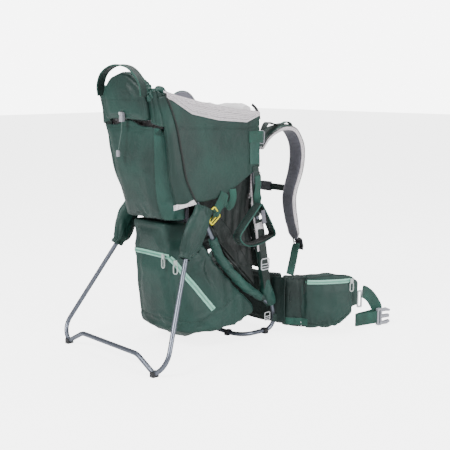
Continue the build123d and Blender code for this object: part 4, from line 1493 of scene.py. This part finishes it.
# %% Ladder locks
def ladder_lock(name, centre, across, up, width, height, finish, thickness=0.0034):
    """A rounded frame with two bars, built from rods that follow its outline."""
    across, up = across.normalized(), up.normalized()
    out = across.cross(up).normalized()
    corner = height * 0.16
    outline = []
    for cx, cy, start in ((1, 1, 0), (-1, 1, 90), (-1, -1, 180), (1, -1, 270)):
        for k in range(5):
            angle = math.radians(start + 22.5 * k)
            outline.append(centre + across * (cx * (width / 2 - corner) + corner * math.cos(angle))
                           + up * (cy * (height / 2 - corner) + corner * math.sin(angle)))
    outline.append(outline[0])
    outline.append(outline[1])
    pieces = [roll(name, resample(outline, 0.0015), lambda s, a: thickness / 2, finish, 10, out)]
    for share, bow in ((0.0, 0.0016), (-0.26, 0.0)):
        a = centre + up * (share * height) - across * (width / 2 - 0.001)
        b = centre + up * (share * height) + across * (width / 2 - 0.001)
        middle = (a + b) / 2 + out * bow
        pieces.append(roll(name, smooth_line([a, middle, b], 0.002), lambda s, a: thickness * 0.42, finish,
                           8, out))
    return pieces


def paired(name, make, body, nodes=()):
    """Makes the right-hand pieces and their mirror images, as one object on one body."""
    right = joined(name, make())
    left = reflect(right, name + "_left")
    place(joined(name, [right, left]), body, nodes)




def strap_end_locks():
    tilt = Vector((0, -0.3, 1))
    pieces = ladder_lock("strap_lock", at(92, 226, 236), X_AXIS, tilt, 0.034, 0.028, dark_grey_plastic,
                         0.004)
    flap = smooth_line([at(92, 219, 252), at(92, 228, 240), at(92, 233, 226), at(92, 233, 214)], 0.003)
    pieces.append(webbing("strap_lock_wing", flap, X_AXIS, 0.028, dark_grey_plastic, 0.003))
    return pieces


paired("shoulder_strap_locks", strap_end_locks, "harness", ["strap_locks"])


def frame_lock_pieces():
    slanted = X_AXIS * 0.4 + Y_AXIS
    pieces = ladder_lock("lifter_lock", at(126, 36, 552), slanted, Z_AXIS, 0.014, 0.034, grey_plastic)
    pieces += ladder_lock("side_lock_low", at(139, 40, 206), Y_AXIS, Z_AXIS, 0.030, 0.030, pale_plastic)
    pieces += ladder_lock("side_lock_high", at(137, 6, 447), Y_AXIS, Z_AXIS, 0.026, 0.030,
                          dark_grey_plastic, 0.0026)
    pieces += ladder_lock("stabiliser_lock", at(137, 122, 38), slanted, Z_AXIS, 0.036, 0.026, pale_plastic)
    pieces += ladder_lock("boot_lock", at(137, 52, 56), Y_AXIS, Z_AXIS, 0.020, 0.022, pale_plastic, 0.0026)
    return pieces


paired("frame_ladder_locks", frame_lock_pieces, "frame", ["frame_locks"])

# %% [markdown]
# Webbing runs between those locks. Each strap is laid out by a few points where it is sewn or
# threaded, and the smooth line between them gives it the slack that real webbing has.

# %% Webbing on the frame
def frame_webbing_pieces():
    tab = smooth_line([at(136.8, -22, 556), at(138.6, 0, 556), at(137.5, 24, 555), at(131, 37, 553)])
    pieces = [webbing("panel_tab", tab, Z_AXIS, 0.030, green_strap)]
    column = smooth_line([at(136.5, 2, 478), at(137.5, 6, 447), at(135, 8, 420), at(132, 10, 372),
                          at(130, 16, 340)])
    pieces.append(webbing("side_column", column, Y_AXIS, 0.022, dark_strap))
    low = smooth_line([at(130, 24, 330), at(133, 32, 280), at(137.5, 38, 222), at(137.5, 42, 190),
                       at(133, 54, 150),
                       at(128, 66, 116)])
    pieces.append(webbing("side_column_low", low, Y_AXIS, 0.026, inner_strap))
    stabiliser = smooth_line([at(128, 84, 44), at(133, 106, 40), at(137.5, 122, 38), at(140, 136, 37)])
    pieces.append(webbing("stabiliser", stabiliser, Z_AXIS, 0.022, dark_strap))
    rim_strap = smooth_line([at(116, 8, 640), at(122, 16, 630), at(126, 22, 616), at(128, 24, 600)])
    pieces.append(webbing("rim_strap", rim_strap, Y_AXIS, 0.010, black_cloth))
    return pieces


inner_strap = woven_strap("inner_strap", linear(10, 24, 21), linear(24, 46, 41))
black_cloth = pack_cloth("black_cloth", linear(16, 18, 20), linear(34, 38, 40))
paired("frame_webbing", frame_webbing_pieces, "frame")


def reflective_strip():
    strip = smooth_line([at(130, 22, 322), at(131, 26, 300), at(131, 31, 272), at(131, 34, 244)])
    return [webbing("pale_side_strip", strip, Y_AXIS, 0.034, pale_mesh, 0.003),
            webbing("pale_column_edge", smooth_line([at(126, 22, 470), at(126, 22, 400), at(127, 26, 340)]),
                    Y_AXIS, 0.008, pale_mesh, 0.003)]


paired("pale_side_strips", reflective_strip, "frame")

# %% Load lifters and lower webbing, between the frame and the harness
for side, sign in (("r", 1), ("l", -1)):
    turn = (lambda line: line) if sign > 0 else mirrored
    lifter_path = smooth_line(turn([at(127, 40, 570), at(122, 52, 583), at(112, 72, 590), at(101, 98, 586),
                                    at(94, 124, 582), at(92, 152, 584)]))
    lifter = webbing("load_lifter_" + side, lifter_path, Vector((1, 0.2 * sign, 0)), 0.018, dark_strap)
    if sign > 0:
        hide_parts("harness_webbings")
    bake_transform(lifter)
    pull = webbing("lifter_pull_" + side, smooth_line(turn([at(92, 150, 583), at(93, 168, 588),
                                                            at(93, 182, 583),
                                                            at(92, 190, 574)])), X_AXIS, 0.014, green_strap)
    place(pull, "harness")
    lower = along_stations([(at(98, 212, 234), (1, 0.2, 0)), (at(108, 196, 222), (0.9, 0.7, 0)),
                            (at(126, 168, 198), (0.7, 0.9, 0.1)), (at(142, 142, 176), (0.6, 1, 0)),
                            (at(149, 130, 164), (0.6, 1, 0))], sign)
    lower_strap = webbing("lower_webbing_" + side, lower[0], lower[1], 0.022, green_strap)
    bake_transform(lower_strap)

# %% Chest strap, with the webbing brought onto the shoulder straps
chest_low, chest_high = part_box("chest_strap_r")
chest_z = (chest_low.z + chest_high.z) / 2
for side, sign, body, buckle in (("r", 1, "chest_socket", "chest_buckle_socket"),
                                 ("l", -1, "chest_plug", "chest_buckle_plug")):
    near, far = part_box(buckle)
    root = (far.x if sign > 0 else near.x) - sign * 0.002
    end = sign * 0.104
    path = smooth_line([Vector((root, 0.209, chest_z)), Vector((root * 0.5 + end * 0.5, 0.208, chest_z)),
                        Vector((end - sign * 0.028, 0.205, chest_z)), Vector((end, 0.202, chest_z))])
    strap = webbing("chest_webbing_" + side, path, Z_AXIS, 0.019, dark_strap)
    place(strap, body, ["chest_strap_" + side])

# %% [markdown]
# The stirrup is a wide loop of webbing that hangs open below a flat tab, stiffened where the foot
# rests. The entry strap beside it ends in a bright square buckle, the one part a parent looks for.

# %% Foot stirrups
def stirrup_pieces():
    loop = smooth_line([at(152, -2, 379), at(152, -26, 356), at(151, -60, 324), at(151, -80, 300),
                        at(152, -66, 279),
                        at(152, -38, 270), at(152, 0, 273), at(152, 40, 284), at(152, 53, 292), at(152, 40,
                                                                                                   318),
                        at(152, 20, 350), at(152, 0, 379)], 0.004)
    pieces = [webbing("stirrup_loop", loop, X_AXIS, 0.027, dark_strap, 0.003)]
    tread = smooth_line([at(152, -70, 284), at(152, -40, 275), at(152, 0, 278), at(152, 42, 288)], 0.004)
    pieces.append(webbing("stirrup_tread", tread, X_AXIS, 0.024, inner_cloth, 0.004))
    for edge_x in (139.5, 164.5):
        edge = [Vector((edge_x * MM, p.y, p.z)) for p in loop]
        pieces.append(roll("stirrup_binding", edge, lambda s, a: 0.0019, green_cloth_light, 8, Y_AXIS,
                           False))
    tab = smooth_line([at(139, 10, 452), at(139.6, 10, 430), at(141, 6, 404), at(148, 0, 384),
                       at(152, -1, 376)])
    widths = [Y_AXIS.lerp(X_AXIS, smoothstep(0.5, 1.0, k / (len(tab) - 1))) for k in range(len(tab))]
    pieces.append(webbing("stirrup_tab", tab, widths, 0.022, green_strap))
    patch_line = smooth_line([at(165.8, 2, 362), at(166.2, 4, 345), at(166.2, 8, 326)])
    pieces.append(webbing("stirrup_patch", patch_line, Y_AXIS, 0.014, grey_mesh, 0.0018))
    return pieces


for side in ("r", "l"):
    stirrup = joined("stirrup_webbing_" + side, stirrup_pieces())
    if side == "l":
        twin = reflect(stirrup, "stirrup_left")
        bpy.data.objects.remove(stirrup)
        stirrup = twin
        stirrup.name = "stirrup_webbing_l"
    place(stirrup, "stirrup_" + side, ["stirrup_" + side])


# %% Entry straps with their square buckles
def entry_pieces():
    down = smooth_line([at(138.4, -112, 417), at(139.6, -122, 400), at(141, -136, 382), at(142, -148, 368)])
    along = Vector((0, 0.8, 0.6))
    pieces = [webbing("entry_webbing", down, along, 0.024, green_strap)]
    wrap = smooth_line([at(143, -146, 371), at(145.5, -152, 364), at(143, -158, 356), at(139.5, -154, 362)])
    pieces.append(webbing("entry_wrap", wrap, along, 0.021, green_strap))
    second = smooth_line([at(138.4, -84, 424), at(141, -84, 402), at(144, -96, 384), at(143, -112, 380),
                          at(140, -116, 396), at(138.6, -110, 412)])
    pieces.append(webbing("entry_loop", second, Vector((0.3, 0.8, -0.4)), 0.020, green_strap))
    return pieces


for side, sign in (("r", 1), ("l", -1)):
    strap = joined("entry_webbing_" + side, entry_pieces())
    bars = ladder_lock("entry_buckle", at(141.5, -155, 361), Vector((0, 0.8, 0.6)), Vector((0, -0.6, 0.8)),
                       0.036, 0.032, yellow_plastic, 0.0042)
    buckle = joined("entry_buckle_" + side, bars)
    if sign < 0:
        twins = [reflect(strap, "strap_twin"), reflect(buckle, "buckle_twin")]
        bpy.data.objects.remove(strap)
        bpy.data.objects.remove(buckle)
        strap, buckle = twins
        strap.name, buckle.name = "entry_webbing_l", "entry_buckle_l"
    place(strap, "entry_" + side, ["entry_strap_" + side])
    place(buckle, "entry_" + side)

# %% Grab handle
handle_line = smooth_line([at(-88, -330, 664), at(-91, -331, 690), at(-76, -331, 718), at(-44, -330, 735),
                           at(-8, -330, 740), at(32, -330, 734), at(62, -330, 716), at(82, -330, 692),
                           at(88, -330, 664)])
handle_pieces = [webbing("handle_strap", handle_line, Y_AXIS, 0.023, dark_strap, 0.0032)]
for y in (-340.5, -319.5):
    edge = [Vector((p.x, y * MM, p.z)) for p in handle_line]
    handle_pieces.append(roll("handle_binding", edge, lambda s, a: 0.0021, green_strap, 8, Y_AXIS, False))
place(joined("grab_handle_webbing", handle_pieces), "handle", ["grab_handle"])

# %% [markdown]
# The drawcord hangs from its lock and ends in a small loop. Its points are the route of the packed
# model, as the control points of one NURBS curve, so it bends evenly and keeps its real length.

# %% Drawcord
CORD_DIAMETER = 0.0025
CORD_ROUTE = [(0, -0.332, 0.624), (0, -0.332, 0.588), (-0.005, -0.335, 0.556), (-0.016, -0.333, 0.530)]


def cord_finish():
    f = Finish("drawcord_braid", 0.55, sheen=0.2)
    braid = f.wave("Z", 0.0014)
    f.colour(f.blend(braid, linear(40, 62, 58), linear(96, 120, 114)))
    f.bump((braid, 0.6, 0.0003))
    return f.material


cord_data = bpy.data.curves.new("drawcord", "CURVE")
cord_data.dimensions = "3D"
spline = cord_data.splines.new("NURBS")
spline.points.add(len(CORD_ROUTE) - 1)
for control, spot in zip(spline.points, CORD_ROUTE):
    control.co = (*spot, 1)
spline.order_u = 3
spline.use_endpoint_u = True
cord_data.resolution_u = 12
cord_data.bevel_depth = CORD_DIAMETER / 2
cord_data.bevel_resolution = 3
cord_data.use_fill_caps = True
cord_data.materials.append(cord_finish())
drawcord = bpy.data.objects.new("drawcord", cord_data)
bpy.context.scene.collection.objects.link(drawcord)
place(drawcord, "frame", ["pocket_cord"])
upper_cords = []
for sign in (1, -1):
    strand = smooth_line([at(sign * 13, -325, 640), at(sign * 7, -330, 634), at(sign * 1.5, -332, 626)],
                         0.002)
    upper_cords.append(roll("upper_cord", strand, lambda s, a: 0.0011, drawcord.data.materials[0], 8))
place(joined("drawcord_hem_strands", upper_cords), "frame")

# %% [markdown]
# All the remembered rows become geometry here. Each unit is a tiny bevelled block: a stitch lies
# along its seam, a tooth lies across its tape, and a hole is a disc sunk in the mesh, dark as painted
# shade inside the hole.

# %% Stitches, teeth and holes
def unit_block(name, length, width, height):
    bm = bmesh.new()
    bmesh.ops.create_cube(bm, size=1)
    bmesh.ops.scale(bm, vec=(length, width, height), verts=bm.verts)
    rounding = min(length, width, height) * 0.28
    bmesh.ops.bevel(bm, geom=bm.edges[:], offset=rounding, segments=1, affect="EDGES")
    mesh = bpy.data.meshes.new(name)
    bm.to_mesh(mesh)
    bm.free()
    mesh.shade_smooth()
    made = bpy.data.objects.new(name, mesh)
    bpy.context.scene.collection.objects.link(made)
    return made


def unit_disc(name, radius, height):
    bm = bmesh.new()
    bmesh.ops.create_cone(bm, cap_ends=True, segments=7, radius1=radius, radius2=radius, depth=height)
    mesh = bpy.data.meshes.new(name)
    bm.to_mesh(mesh)
    bm.free()
    made = bpy.data.objects.new(name, mesh)
    bpy.context.scene.collection.objects.link(made)
    return made


thread_finish = pack_cloth("sewing_thread", linear(20, 40, 36), linear(40, 70, 62), 0.0007)
tooth_finish = moulded("zip_tooth", linear(110, 176, 156), 0.4, 0.05)
# The hole discs' dark colour is painted shade inside the real holes of the mesh rim.
hole_shade_finish = pack_cloth("mesh_hole_shade", linear(96, 84, 92), linear(130, 116, 124), 0.0007)
ROW_KINDS = {
    "stitch": (0.0034, unit_block("unit_stitch", 0.0024, 0.0007, 0.0006), thread_finish, "pack_fabric"),
    "tooth": (0.0022, unit_block("unit_tooth", 0.0011, 0.0044, 0.0012), tooth_finish, "zip"),
    "hole": (HOLE_PITCH, unit_disc("unit_hole", 0.00105, 0.0005), hole_shade_finish, "light_mesh"),
}


def grow_rows(body, kind, lines):
    verts = []
    edges = []
    outs = []
    for points, directions_out in lines:
        first = len(verts)
        verts += [tuple(p) for p in points]
        outs += [tuple(o) for o in directions_out]
        edges += [(first + k, first + k + 1) for k in range(len(points) - 1)]
    mesh = bpy.data.meshes.new(f"{kind}_lines")
    mesh.from_pydata(verts, edges, [])
    attribute = mesh.attributes.new("outward", "FLOAT_VECTOR", "POINT")
    attribute.data.foreach_set("vector", np.array(outs, np.float32).ravel())
    piece = bpy.data.objects.new(f"{kind}_row_{body}", mesh)
    bpy.context.scene.collection.objects.link(piece)
    pitch, unit, finish, slot = ROW_KINDS[kind]
    rows = piece.modifiers.new("rows", "NODES")
    rows.node_group = ROW_TREE
    rows[PITCH_ID] = pitch
    rows[UNIT_ID] = unit
    rows[FINISH_ID] = finish
    settle(piece)
    place(piece, body)
    print(piece.name, "has", len(piece.data.polygons), "faces")


for (body, kind), lines in row_lines.items():
    grow_rows(body, kind, lines)
for _, unit, _, _ in ROW_KINDS.values():
    bpy.data.objects.remove(unit)
